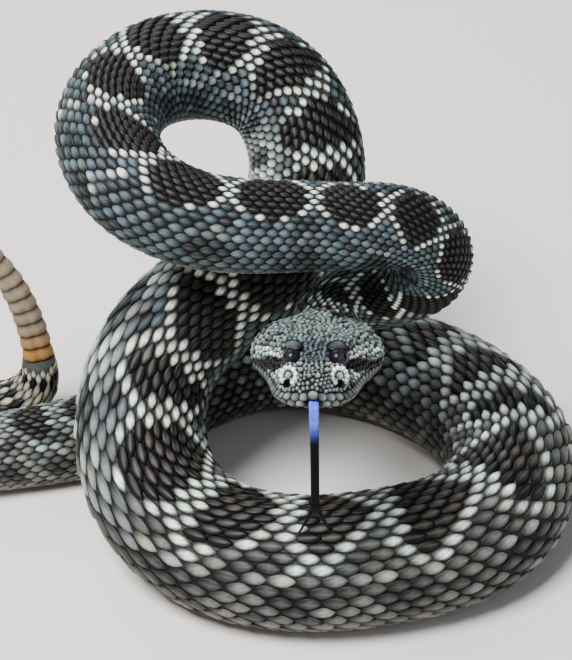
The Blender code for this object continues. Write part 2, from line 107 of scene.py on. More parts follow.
# The snout past the last row: how far it bulges, its length, its rings and the point that it closes on
SNOUT_BULGE = 0.8
SNOUT_RUN = 3.6
SNOUT_RINGS = 9
SNOUT_REST = (0.0, -2.4)

# Places on the right side of the head: side, distance from the nape, height
EYE_RADIUS = 2.9
EYE_PLACE = (6.9, 36.5, 5.6)
PIT_PLACE = (8.6, 48.8, 0.0)
NOSTRIL_PLACE = (5.9, 50.9, 2.2)
MOUTH = [(11.0, -5.2), (15.0, -3.3), (20.0, -3.7), (28.0, -3.9), (35.0, -3.9), (47.0, -3.9), (60.0, -3.9)]
MOUTH_CORNER = 14.5

# Hollows of the head and, with a depth below zero, its swellings: place, reach, depth
HEAD_DENTS = [
    ((9.6, 41.0, 2.6), 3.4, 0.9),
    ((7.8, 37.6, 5.0), 3.6, 1.2),
    ((6.8, 41.0, 6.3), 3.8, 2.1),
    ((7.6, 34.5, 9.4), 4.6, -0.4),
    ((5.0, 47.5, 4.6), 3.0, -0.4),
    ((19.5, 14.0, 0.6), 8.0, -0.5),
    ((0.0, 41.0, 7.6), 4.0, 0.35),
]
# The share of a hollow's reach over which it is fully deep
DENT_FLOOR = 0.35

# The disc by each nostril that faces forwards: place, the way it faces and its reach. Then the share of the
# reach that is flat, how far the surface is moved for it at most, and how squarely that is measured at least
NOSE_DISC = ((7.8, 47.2, 2.3), (0.45, 0.86, 0.24), 4.8)
NOSE_FLAT = 0.62
NOSE_LIFT = 2.3
NOSE_SQUARE = 0.35

# The tongue and the rattle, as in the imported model
TONGUE_ROOT = (0.0, 51.6, -3.9)
TONGUE_REACH = 11.0
TONGUE_SWAY = -1.1
TONGUE_DROP = 44.0
TONGUE_DROOP = 2.2
TONGUE_WIDTH = 3.3
TONGUE_THICK = 1.3
TONGUE_NARROWING = 0.18
FORK_LENGTH = 12.0
FORK_START = 0.6
FORK_SPREAD = 4.6
FORK_CURL = 1.4
FORK_WIDTH = 1.45
FORK_TAPER = 0.7
RATTLE_SEGMENTS = 9
RATTLE_LENGTH = 51.0
RATTLE_LEAN = 11.0
RATTLE_CURL = 2.4
RATTLE_WIDTH = 11.0
RATTLE_THICK = 7.0
RATTLE_TAPER = 0.8

# Where pale lines cross the back, as on the animal in the photo. The diamond after each reaches some rows on the
# left and on the right, and has its corners at a share of its length. Towards the tail they go on evenly
CROSSINGS = [
    (373, 5.7, 5.7, 0.73), (397, 5.7, 5.7, 0.73), (418, 5.7, 5.7, 0.73), (452, 5.7, 5.7, 0.73),
    (486, 5.8, 5.8, 0.73), (518, 5.3, 5.3, 0.73), (552, 4.4, 6.4, 0.5), (596, 4.7, 6.2, 0.45),
    (627, 5.8, 5.6, 0.5), (656, 5.4, 5.4, 0.5), (683, 5.3, 5.2, 0.4), (706, 5.9, 5.0, 0.3),
    (724, 5.4, 4.8, 0.4), (742, 4.4, 4.6, 0.5), (763, 5.0, 4.5, 0.5), (786, 4.2, 4.0, 0.5),
    (811, 6.0, 3.2, 0.5), (838, 5.2, 4.0, 0.5), (868, 4.6, 4.2, 0.5), (896, 4.6, 3.7, 0.5),
    (916, 5.2, 3.7, 0.5), (930, 5.2, 3.8, 0.5), (945, 4.6, 4.2, 0.5), (960, 4.6, 4.6, 0.5),
    (978, 4.6, 4.6, 0.5), (996, 4.6, 4.6, 0.5), (1014, 4.6, 4.6, 0.5),
]
# How far a crossing runs towards the head for each row to the right, in half columns, by distance
SLANT = [(560, 0.0), (700, -0.3), (800, -0.4), (838, -0.55), (866, 0.0)]

# Rows of scales: 27 round the body and 17 round the tail, the belly's scutes aside. Then the angle of the
# rows by the back and how much wider each is than the one before, and the angle of a row of the marks
BODY_ROWS = 13
BACK_ROW_ANGLE = 8.3
ROW_GROWTH = 0.24
MARK_ANGLE = 10.8
TAIL_ROWS = 8
TAIL_ROW_ANGLE = 15.4
# How far apart the scales of a row are, as a share of the girth, by distance
SCALE_PITCH = [(75, 0.33), (560, 0.3), (660, 0.245), (1060, 0.26)]
TAIL_PITCH = [(0, 0.42), (75, 0.42)]
# Height of the scales over the skin: a share of the half width, and what is added to it
COAT_DEPTH = 0.035
COAT_LEAST = 0.14
# Half length and half width of the scales as shares of the room that each has, on the body and on the tail
SCALE_LENGTH = 0.62
SCALE_WIDTH = 0.6
TAIL_SCALE_WIDTH = 0.62
# The rows further out than this are smooth and a little wider
SMOOTH_FROM = 11
SMOOTH_WIDTH = 1.12
# The scutes under the body and the tail: half length as a share of their room, and degrees to each side
SCUTE_LENGTH = 0.66
BELLY_SPREAD = 52.0
TAIL_SPREAD = 50.0
# Distances at which the coat of the back is parted, so that no piece of it is too heavy
COAT_CUTS = (VENT - 5, 400, 640, 800, 1100)


def natural_curve(knots, rows, wanted):
    """Rows read from a natural cubic curve through the rows at the knots."""
    knots = np.asarray(knots, float)
    rows = np.asarray(rows, float)
    wanted = np.asarray(wanted, float)
    steps = np.diff(knots)
    slopes = np.diff(rows, axis=0) / steps[:, None]
    system = np.eye(len(knots))
    pull = np.zeros_like(rows)
    for i in range(1, len(knots) - 1):
        system[i, i - 1:i + 2] = steps[i - 1], 2 * (steps[i - 1] + steps[i]), steps[i]
        pull[i] = 6 * (slopes[i] - slopes[i - 1])
    bend = np.linalg.solve(system, pull)
    span = np.clip(np.searchsorted(knots, wanted, side="right") - 1, 0, len(knots) - 2)
    along = (wanted - knots[span])[:, None]
    width = steps[span][:, None]
    start = slopes[span] - width * (2 * bend[span] + bend[span + 1]) / 6
    cubic = (bend[span + 1] - bend[span]) / (6 * width)
    return rows[span] + along * (start + along * (bend[span] / 2 + along * cubic))


def unit(rows):
    """Rows scaled to length one."""
    return rows / np.maximum(np.linalg.norm(rows, axis=-1, keepdims=True), 1e-12)


def dot(a, b):
    """Row by row product."""
    return (a * b).sum(axis=-1)


def smooth(x, low=0.0, high=1.0):
    """Goes from 0 at low to 1 at high without a corner."""
    t = np.clip((x - low) / (high - low), 0, 1)
    return t * t * (3 - 2 * t)


class Body:
    """The middle line, girth and section of the animal, from the tail's tip to the snout."""

    def __init__(self):
        plan = np.array([(x, y) for x, y, z in ROUTE], float) - MIDDLE
        leap = np.linalg.norm(np.diff(plan, axis=0), axis=1)
        rough = np.concatenate([[0], np.cumsum(leap)])
        knots, widths = zip(*GIRTH)
        # Girth and rest height hang on the distances, so the route is laid again with better ones
        for _ in range(ROUTE_TURNS):
            width = np.interp(rough, knots, widths)
            high = [REST_HEIGHT * w if z is None else z for (x, y, z), w in zip(ROUTE, width)]
            rough = self.lay(np.column_stack([plan, high]))
        self.nape = rough[-2]
        middle, heading, side, back = (row[0] for row in self.frames(np.array([self.nape])))
        self.head_origin = middle
        self.head_axes = np.array([side, heading, back])

    def lay(self, stations):
        """Lays the curve through the stations and returns their distances along it."""
        chord = np.linalg.norm(np.diff(stations, axis=0), axis=1) ** CHORD_POWER
        knots = np.concatenate([[0], np.cumsum(chord)])
        fine = np.linspace(0, knots[-1], ROUTE_POINTS)
        line = natural_curve(knots, stations, fine)
        self.run = np.concatenate([[0], np.cumsum(np.linalg.norm(np.diff(line, axis=0), axis=1))])
        self.line = line
        self.heading = unit(np.gradient(line, self.run, axis=0))
        self.nape = 1e9
        return np.interp(knots, fine, self.run)

    def girth(self, s):
        """Half width of the body at distances."""
        knots, widths = zip(*GIRTH)
        return natural_curve(knots, np.array(widths)[:, None], np.minimum(s, self.nape + GIRTH_REACH))[:, 0]

    def frames(self, s):
        """Middle, heading, side and back at distances; the head goes on straight from the nape."""
        near = np.minimum(s, self.nape)

        def read(table, knots):
            return np.column_stack([np.interp(near, knots, column) for column in np.asarray(table).T])

        knots, faces = zip(*BACK)
        heading = unit(read(self.heading, self.run))
        back = read(faces, knots)
        back = unit(back - heading * dot(back, heading)[:, None])
        middle = read(self.line, self.run) + heading * (s - near)[:, None]
        return middle, heading, np.cross(heading, back), back

    def head_outline(self, d, phi):
        """Half width and height of the head at distances from the nape, round angles phi."""
        rows = [[row[1], *row[2], *row[3], *row[4], *row[5], *row[6], row[7]] for row in HEAD]
        values = natural_curve([row[0] for row in HEAD], rows, d)
        corners = np.zeros((len(d), HEAD_CORNERS, 2))
        corners[:, 0, 1] = values[:, 0]
        corners[:, 6, 1] = values[:, 11]
        for i in range(1, 6):
            corners[:, i] = values[:, 2 * i - 1:2 * i + 1]
            corners[:, HEAD_CORNERS - i] = corners[:, i] * (-1, 1)
        turn = np.mod(phi, 360.0) / 360.0 * HEAD_CORNERS
        here = turn.astype(int)
        u = (turn - here)[None, :, None]
        before, at, after, beyond = (corners[:, (here + k) % HEAD_CORNERS] for k in (-1, 0, 1, 2))
        bend = (2 * before - 5 * at + 4 * after - beyond) * u * u
        swing = (3 * at - before - 3 * after + beyond) * u ** 3
        outline = 0.5 * (2 * at + (after - before) * u + bend + swing)
        return outline[..., 0], outline[..., 1]

    def points(self, s, phi):
        """Grid of points of the outer surface at distances s and angles phi."""
        middle, heading, side, back = self.frames(s)
        turn = np.radians(phi)[None, :]
        half = self.girth(s)[:, None]
        wide = half * np.sin(turn) * (1 - LOW_SPREAD * np.cos(turn))
        high = np.maximum(half * BACK_HEIGHT * np.cos(turn), -half * BELLY_DROP)
        share = smooth(s, self.nape + NECK_BLEND[0], self.nape + NECK_BLEND[1])[:, None]
        head_wide, head_high = self.head_outline(np.clip(s - self.nape, 0, HEAD_LENGTH), phi)
        wide = wide * (1 - share) + head_wide * share
        high = high * (1 - share) + head_high * share
        # The snout closes in rings that shrink and bulge forwards
        past = np.clip((s - self.nape - HEAD_LENGTH) / SNOUT_RUN, 0, 1)[:, None]
        shrink = 1 - past
        bulge = SNOUT_BULGE * np.sqrt(np.clip(1 - shrink ** 2, 0, 1)) - SNOUT_RUN * past
        wide = wide * shrink + SNOUT_REST[0] * past
        high = high * shrink + SNOUT_REST[1] * past
        bulge = np.broadcast_to(bulge, wide.shape)
        grid = middle[:, None] + side[:, None] * wide[..., None] + back[:, None] * high[..., None]
        grid = grid + heading[:, None] * bulge[..., None]
        grid[..., 2] = np.maximum(grid[..., 2], 0.0)
        return grid

    def in_head(self, points):
        """Points in the head's own axes: side, distance from the nape, height."""
        return (points - self.head_origin) @ self.head_axes.T

    def from_head(self, points):
        """Points of the head's own axes in the shared frame."""
        return self.head_origin + np.asarray(points, float) @ self.head_axes


body = Body()
NAPE = body.nape
SNOUT = NAPE + HEAD_LENGTH + SNOUT_RUN
# Where the keeled scales end and the small scales of the head begin
DORSAL_END = NAPE - 6.5
HEAD_START = NAPE - 7.0


def dent(points, normals, centre, reach, depth):
    """Presses a soft round hollow into points of the head, on both sides."""
    local = body.in_head(points)
    for sign in BOTH_SIDES:
        away = np.linalg.norm(local - np.array([centre[0] * sign, centre[1], centre[2]]), axis=-1)
        points = points - normals * (depth * smooth(away, reach, reach * DENT_FLOOR))[..., None]
    return points


def face_forwards(points, normals):
    """Turns the discs by the nostrils to face forwards."""
    centre, way, reach = NOSE_DISC
    local = body.in_head(points)
    out = normals @ body.head_axes.T
    for sign in BOTH_SIDES:
        flip = np.array([sign, 1, 1])
        gap = np.array(centre) * flip - local
        lift = dot(gap, unit(way * flip)) / np.maximum(dot(out, unit(way * flip)), NOSE_SQUARE)
        share = smooth(np.linalg.norm(gap, axis=-1), reach, reach * NOSE_FLAT)
        points = points + normals * (np.clip(lift, -NOSE_LIFT, NOSE_LIFT) * share)[..., None]
    return points


def mouth_height(d):
    """Height of the line of the mouth at distances from the nape."""
    return np.interp(d, *zip(*MOUTH))


class Surface:
    """A fine grid of the outer surface, read by distance and angle."""

    STEP = 2.0
    BODY_STEP = 0.6
    HEAD_STEP = 0.3
    SNOUT_ROWS = 14
    SNOUT_GAP = 0.12
    # Distances before and past the nape from which the rows are finer and the head is carved
    FINE_BEFORE = 10
    CARVED_PAST = 10

    def __init__(self):
        along = np.arange(0, NAPE - self.FINE_BEFORE, self.BODY_STEP)
        head = np.arange(NAPE - self.FINE_BEFORE, NAPE + HEAD_LENGTH, self.HEAD_STEP)
        snout = np.linspace(NAPE + HEAD_LENGTH, SNOUT - self.SNOUT_GAP, self.SNOUT_ROWS)
        self.s = np.concatenate([along, head, snout])
        self.phi = np.arange(0, 360 + self.STEP, self.STEP)
        grid = body.points(self.s, self.phi)
        self.normals = self.find_normals(grid)
        self.grid = self.carve(grid)
        self.normals = self.find_normals(self.grid)
        self.by_s = np.gradient(self.grid, self.s, axis=0)
        self.by_phi = self.round_slope(self.grid) / self.STEP

    @staticmethod
    def round_slope(grid):
        """Change of the grid per step round the body."""
        loop = grid[:, :-1]
        slope = (np.roll(loop, -1, axis=1) - np.roll(loop, 1, axis=1)) / 2
        return np.concatenate([slope, slope[:, :1]], axis=1)

    def find_normals(self, grid):
        """Outward directions of a grid."""
        normals = unit(np.cross(self.round_slope(grid), np.gradient(grid, self.s, axis=0)))
        normals[-1] = body.head_axes[1]
        return normals

    def carve(self, grid):
        """The brows, the hollows before the eyes and the discs by the nostrils, which the scales follow."""
        first = np.searchsorted(self.s, NAPE + self.CARVED_PAST)
        part = grid[first:]
        facing = self.normals[first:]
        for centre, reach, depth in HEAD_DENTS:
            part = dent(part, facing, centre, reach, depth)
        grid[first:] = face_forwards(part, facing)
        return grid

    def blend(self, table, s, phi):
        """Values of a table of the grid between its points."""
        row = np.interp(s, self.s, np.arange(len(self.s)))
        column = np.mod(phi, 360.0) / self.STEP
        i = np.minimum(row.astype(int), len(self.s) - 2)
        j = np.minimum(column.astype(int), len(self.phi) - 2)
        u = (row - i)[..., None]
        v = (column - j)[..., None]
        low = table[i, j] * (1 - v) + table[i, j + 1] * v
        return low * (1 - u) + (table[i + 1, j] * (1 - v) + table[i + 1, j + 1] * v) * u

    def at(self, s, phi):
        """Points and outward directions."""
        return self.blend(self.grid, s, phi), unit(self.blend(self.normals, s, phi))

    def stretch(self, s, phi):
        """Length of the surface along the body for each unit of distance."""
        return np.linalg.norm(self.blend(self.by_s, s, phi), axis=-1)

    def arc(self, s, phi):
        """Length of the surface round the body for each degree."""
        return np.linalg.norm(self.blend(self.by_phi, s, phi), axis=-1)


surface = Surface()


def coat_depth(s):
    """How far the skin lies inside the outer surface, which the tips of the scales reach."""
    return COAT_LEAST + COAT_DEPTH * body.girth(s)


def deselect_all():
    """Leaves nothing selected, as a new primitive needs."""
    if bpy.context.object and bpy.context.object.mode != "OBJECT":
        bpy.ops.object.mode_set(mode="OBJECT")
    bpy.ops.object.select_all(action="DESELECT")


def sheet(name, columns, rows):
    """A grid primitive of columns by rows of faces, and its points as rows of the grid."""
    deselect_all()
    bpy.ops.mesh.primitive_grid_add(x_subdivisions=columns, y_subdivisions=rows, size=2.0, calc_uvs=False)
    piece = bpy.context.object
    piece.name = name
    piece.data.name = name
    flat = np.empty(len(piece.data.vertices) * 3)
    piece.data.vertices.foreach_get("co", flat)
    return piece, flat.reshape(rows + 1, columns + 1, 3)


def shape(piece, points):
    """Moves the points of a piece, given in millimetres."""
    piece.data.vertices.foreach_set("co", (np.asarray(points, float).reshape(-1, 3) * MM).ravel())
    piece.data.update()


def close(piece, seam=True):
    """Merges the seam of a rolled sheet, fills its open ends and turns its faces outwards."""
    deselect_all()
    piece.select_set(True)
    bpy.context.view_layer.objects.active = piece
    bpy.ops.object.mode_set(mode="EDIT")
    bpy.ops.mesh.select_mode(type="VERT")
    bpy.ops.mesh.select_all(action="SELECT")
    if seam:
        bpy.ops.mesh.remove_doubles(threshold=1e-6)
    bpy.ops.mesh.select_all(action="DESELECT")
    bpy.ops.mesh.select_non_manifold()
    bpy.ops.mesh.fill_holes(sides=0)
    bpy.ops.mesh.select_all(action="SELECT")
    bpy.ops.mesh.normals_make_consistent(inside=False)
    bpy.ops.object.mode_set(mode="OBJECT")
    piece.data.shade_smooth()


def tube(name, rings, values=None):
    """A closed tube through rings of points. Values are named tables of the same rings."""
    rings = np.asarray(rings, float)
    rings = np.concatenate([rings, rings[:, :1]], axis=1)
    piece = sheet(name, rings.shape[1] - 1, rings.shape[0] - 1)[0]
    shape(piece, rings)
    for word, table in (values or {}).items():
        table = np.concatenate([table, table[:, :1]], axis=1)
        store(piece.data, word, table.reshape(-1, table.shape[-1]))
    close(piece)
    return piece


def store(mesh, name, rows):
    """Keeps four or three numbers for each point of a mesh, for its material."""
    rows = np.asarray(rows, float)
    kind = "FLOAT_COLOR" if rows.shape[1] == 4 else "FLOAT_VECTOR"
    attribute = mesh.attributes.new(name, kind, "POINT")
    attribute.data.foreach_set("color" if kind == "FLOAT_COLOR" else "vector", rows.ravel())


class Model:
    """One small shape, modelled once, whose copies cover the body. Its points are along, across and up.

    half_width and top are tables along it. keel is the height of its keel, droop how much its sides hang and
    round_tip how much its ends are rounded. The sides say where its dark rim begins at the tip and at the
    root, and rim_from and rim_to how wide the rim is; the rim is partly dark edge and partly painted shade.
    """

    KEEL_WIDTH = 0.2
    UNDER = (0.35, -0.2)

    def __init__(self, name, along, across, half_width, top, keel=0.0, droop=0.3, round_tip=0.12,
                 tip_side=0.68, root_side=0.75, rim_from=0.44, rim_to=0.8):
        piece, flat = sheet(name, len(across) - 1, len(along) - 1)
        along = np.array(along, float)
        across = np.array(across, float)
        u = np.broadcast_to(along[:, None], flat.shape[:2])
        v = np.broadcast_to(across[None, :], flat.shape[:2])
        width = np.interp(along, *zip(*half_width))[:, None]
        rim = (np.abs(v) == 1) | (u == along[0]) | (u == along[-1])
        height = np.interp(along, *zip(*top))[:, None] * (1 - droop * v ** 2)
        spine = np.maximum(0, 1 - np.abs(v) / self.KEEL_WIDTH) * np.clip((u + 0.8) / 0.5, 0, 1)
        height = height + keel * spine * np.clip((1.02 - u) / 0.3, 0, 1)
        under = np.interp(along, *zip(*top))[:, None] * self.UNDER[0] + self.UNDER[1]
        height = np.where(rim, np.broadcast_to(under, height.shape), height)
        tip = round_tip * v ** 2 * (smooth(u, 0.2, 1.0) - smooth(u, -0.2, -1.0))
        flat[..., 0] = u - tip
        flat[..., 1] = v * width
        flat[..., 2] = height
        piece.data.vertices.foreach_set("co", flat.ravel())
        close(piece, seam=False)
        mesh = piece.data
        co = np.empty(len(mesh.vertices) * 3)
        mesh.vertices.foreach_get("co", co)
        self.points = co.reshape(-1, 3)
        self.sizes = np.array([len(face.vertices) for face in mesh.polygons])
        self.corners = np.concatenate([list(face.vertices) for face in mesh.polygons])
        self.under = np.repeat(self.sizes > 4, self.sizes)
        outwards = np.maximum((u - 0.1) / tip_side, (0.1 - u) / root_side)
        edge = smooth(np.hypot(v, outwards), rim_from, rim_to)
        self.relief = np.column_stack([edge.ravel(), spine.ravel(), (u.ravel() + 1) / 2])
        bpy.data.objects.remove(piece, do_unlink=True)


# A keeled scale of the back, a smooth one of the flank, a scute of the belly, a bead and a plate of the head
KEELED = Model("keeled scale",
               (-1, -0.64, -0.3, 0.1, 0.48, 0.76, 1), (-1, -0.78, -0.42, 0, 0.42, 0.78, 1),
               [(-1, 0.3), (-0.64, 0.68), (-0.3, 0.92), (0.1, 1.0), (0.48, 0.86), (0.76, 0.56), (1, 0.18)],
               [(-1, 0.0), (-0.64, 0.3), (-0.3, 0.62), (0.1, 0.9), (0.48, 1.0), (0.76, 0.92), (1, 0.55)],
               0.16, 0.62)
SMOOTH = Model("smooth scale", (-1, -0.6, -0.1, 0.45, 0.8, 1), (-1, -0.8, -0.42, 0, 0.42, 0.8, 1),
               [(-1, 0.5), (-0.6, 0.84), (-0.1, 1.0), (0.45, 0.94), (0.8, 0.72), (1, 0.42)],
               [(-1, 0.0), (-0.6, 0.34), (-0.1, 0.74), (0.45, 1.0), (0.8, 0.96), (1, 0.7)], 0.0, 0.45)
SCUTE = Model("belly scute", (-1, -0.5, 0.1, 0.7, 0.9, 1),
              (-1, -0.92, -0.78, -0.6, -0.4, -0.2, 0, 0.2, 0.4, 0.6, 0.78, 0.92, 1),
              [(-1, 0.97), (0.1, 1.0), (0.7, 0.99), (1, 0.97)],
              [(-1, 0.0), (-0.5, 0.4), (0.1, 0.7), (0.7, 0.95), (0.9, 1.0), (1, 0.85)], 0.0, 0.0, 0.5)
BEAD = Model("head bead", (-1, -0.6, 0.0, 0.55, 1), (-1, -0.62, 0, 0.62, 1),
             [(-1, 0.45), (-0.6, 0.84), (0.0, 1.0), (0.55, 0.86), (1, 0.42)],
             [(-1, 0.1), (-0.6, 0.6), (0.0, 0.95), (0.55, 1.0), (1, 0.7)],
             0.12, 0.5, 0.12, 0.9, 1.1, 0.5, 0.88)
PLATE = Model("head plate", (-1, -0.8, -0.35, 0.15, 0.6, 0.88, 1), (-1, -0.84, -0.4, 0, 0.4, 0.84, 1),
              [(-1, 0.62), (-0.8, 0.82), (-0.35, 0.98), (0.15, 1.0), (0.6, 0.92), (0.88, 0.76), (1, 0.55)],
              [(-1, 0.6), (-0.8, 0.85), (-0.35, 1.0), (0.6, 1.0), (0.88, 0.95), (1, 0.8)],
              0.0, 0.2, 0.12, 0.92, 1.12, 0.66, 1.0)


def unwrap(s, phi):
    """Place of points of the skin on its unwrap, folded into lanes so that it is about square."""
    lanes = 3
    length = SNOUT / lanes
    lane = np.clip((s / length).astype(int), 0, lanes - 1)
    return np.stack([0.01 + 0.98 * (s / length - lane),
                     0.01 + 0.98 * (lane + np.mod(phi, 360.0) / 360.0) / lanes], axis=-1)


# Half the size of a scale's patch on the unwrap, the lowest height of a scale over the floor, and how far a
# scale may reach from its place: lengths along the body, and degrees round it
PATCH = 0.0015
LOWEST = 0.02
MOST_REACH = 1.8
MOST_TURN = 22.0


class Coat:
    """Scales gathered for one piece: places, and what their material reads."""

    def __init__(self):
        self.points = []
        self.sizes = []
        self.corners = []
        self.patches = []
        self.tables = {"marking": [], "relief": [], "tone": []}
        self.count = 0

    def add(self, model, points, s, phi, marking, tone):
        """Adds copies of a model at points (copies by points of the model)."""
        copies, each = points.shape[:2]
        first = self.count + each * np.arange(copies)[:, None]
        self.points.append(points.reshape(-1, 3))
        self.corners.append((model.corners[None] + first).ravel())
        self.sizes.append(np.tile(model.sizes, copies))
        root = unwrap(s, phi)[:, None, :]
        flat = model.points[model.corners][:, :2]
        patch = root + np.where(model.under[:, None], (PATCH * 1.4, 0) + flat * PATCH * 0.2, flat * PATCH)
        self.patches.append(patch.reshape(-1, 2))
        self.tables["marking"].append(np.repeat(marking, each, axis=0) if len(marking) == copies else marking)
        self.tables["tone"].append(np.repeat(tone, each, axis=0))
        self.tables["relief"].append(np.tile(model.relief, (copies, 1)))
        self.count += copies * each

    def finish(self, name, material):
        """Makes the piece."""
        mesh = bpy.data.meshes.new(name)
        corners = np.concatenate(self.corners)
        sizes = np.concatenate(self.sizes)
        mesh.vertices.add(self.count)
        mesh.vertices.foreach_set("co", (np.concatenate(self.points) * MM).ravel())
        mesh.loops.add(len(corners))
        mesh.loops.foreach_set("vertex_index", corners)
        mesh.polygons.add(len(sizes))
        mesh.polygons.foreach_set("loop_start", np.concatenate([[0], np.cumsum(sizes)[:-1]]))
        mesh.update(calc_edges=True)
        for word, tables in self.tables.items():
            store(mesh, word, np.concatenate(tables))
        layer = mesh.uv_layers.new(name="OFBake")
        layer.data.foreach_set("uv", np.concatenate(self.patches).ravel())
        mesh.shade_smooth()
        piece = bpy.data.objects.new(name, mesh)
        bpy.context.scene.collection.objects.link(piece)
        mesh.materials.append(material)
        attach(piece, "root")
        return piece


def lay(model, s, phi, turn, length, width, depth):
    """Points of copies of a model laid on the surface, pointing to the tail or turned from it."""
    by_s = surface.blend(surface.by_s, s, phi)
    by_phi = surface.blend(surface.by_phi, s, phi)
    normal = surface.at(s, phi)[1]
    tail = unit(-by_s)
    across = np.cross(normal, tail)
    turn = np.radians(turn)[:, None]
    ahead = tail * np.cos(turn) + across * np.sin(turn)
    beside = np.cross(normal, ahead)
    u, v, high = model.points.T
    reach = (ahead[:, None] * (u * length[:, None])[..., None]
             + beside[:, None] * (v * width[:, None])[..., None])
    ss, sp, pp = dot(by_s, by_s)[:, None], dot(by_s, by_phi)[:, None], dot(by_phi, by_phi)[:, None]
    on_s = dot(reach, by_s[:, None])
    on_phi = dot(reach, by_phi[:, None])
    spread = ss * pp - sp * sp
    farthest = MOST_REACH * length[:, None]
    place_s = s[:, None] + np.clip((pp * on_s - sp * on_phi) / spread, -farthest, farthest)
    place_phi = phi[:, None] + np.clip((ss * on_phi - sp * on_s) / spread, -MOST_TURN, MOST_TURN)
    points, normals = surface.at(np.clip(place_s, 0.1, SNOUT - 0.2), place_phi)
    points = points + normals * ((high[None] - 1) * depth[:, None])[..., None]
    points[..., 2] = np.maximum(points[..., 2], LOWEST)
    return points


class Lattice:
    """Columns counted along the back, one for each scale of a row, with every other row half a column on."""

    def __init__(self, pitch):
        back = surface.grid[:, 0]
        step = np.concatenate([[0], np.linalg.norm(np.diff(back, axis=0), axis=1)])
        self.s = surface.s
        share = np.interp(self.s, *zip(*pitch))
        self.column = np.cumsum(step / (share * body.girth(self.s)))

    def columns(self, s):
        return np.interp(s, self.s, self.column)

    def distances(self, columns):
        return np.interp(columns, self.column, self.s)

    def pitch(self, s):
        """How far apart the columns are."""
        return 1 / np.interp(s, self.s, np.gradient(self.column, self.s))

    def middle_row(self, first, last):
        """Distances and columns of the scutes, one to each column."""
        columns = np.arange(math.ceil(self.columns(first)), math.floor(self.columns(last)))
        return self.distances(columns), columns

    def rows(self, count, first, last):
        """Row number, column and distance of each scale in alternate rows."""
        low, high = self.columns(np.array([first, last]))
        found = []
        for row in range(-count, count + 1):
            here = np.arange(math.ceil(low), math.floor(high)) + 0.5 * (row % 2)
            found.append(np.column_stack([np.full(len(here), row), here]))
        found = np.concatenate(found)
        return found[:, 0], found[:, 1], self.distances(found[:, 1])


back_lattice = Lattice(SCALE_PITCH)


def row_angle(row):
    """Angle round the body of a row of scales. The rows are narrowest along the back."""
    return row * (BACK_ROW_ANGLE + ROW_GROWTH / 2 * np.abs(row))


def pale_crossings():
    """Half columns at which the pale lines cross the back, and the rows and corners of the diamonds."""
    rows = [list(row) for row in CROSSINGS]
    while rows[0][0] > VENT:
        step = 13.0 + 11.0 * max(0, rows[0][0] - VENT) / (CROSSINGS[0][0] - VENT)
        rows.insert(0, [rows[0][0] - step, *rows[0][1:]])
    places, left, right, corners = np.array(rows).T
    return np.round(2 * back_lattice.columns(places)), left, right, corners


PALE_LINES, LEFT_REACH, RIGHT_REACH, CORNERS = pale_crossings()

# How the sides of a diamond bend to its crossings on the way to the corner: the nearer side is the straighter
NEAR_BEND = 4.0
EVEN_BEND = 2.6
FAR_BEND = 1.4
BEND_CORNERS = (0.2, 0.5, 0.73)

# The blotch low on the flank: share of the diamond's length that it lies at, half length, row, half height
BLOTCH_SHARE = 0.92
BLOTCH_HALF = 2.5
BLOTCH_ROW = 7.8
BLOTCH_ROWS = 1.6

# Distances between which the dull pattern of the hind body turns into the bright one, the pale lines come
# to fade on the flanks, and the tan of the low flank gives way to grey; then the rows from which the lines
# fade, by distance, the painted silvery sheen on the rising body's left flank, and where bars begin and end
DULL = tuple(2 * back_lattice.columns(np.array([368.0, 392.0])))
FADING = tuple(2 * back_lattice.columns(np.array([585.0, 600.0])))
GREYER = tuple(2 * back_lattice.columns(np.array([540.0, 640.0])))
FADE_ROWS = [(680, 4.0), (715, 2.9), (850, 2.9), (870, 3.6)]
PAINTED_SHEEN_SHARE = 0.36
BARRED = tuple(2 * back_lattice.columns(np.array([745.0, 760.0])))
BARRED_END = tuple(2 * back_lattice.columns(np.array([850.0, 842.0])))


def on_rise(place):
    """Share of the rising body at distances."""
    return smooth(place, 560, 590) * smooth(place, 735, 700)


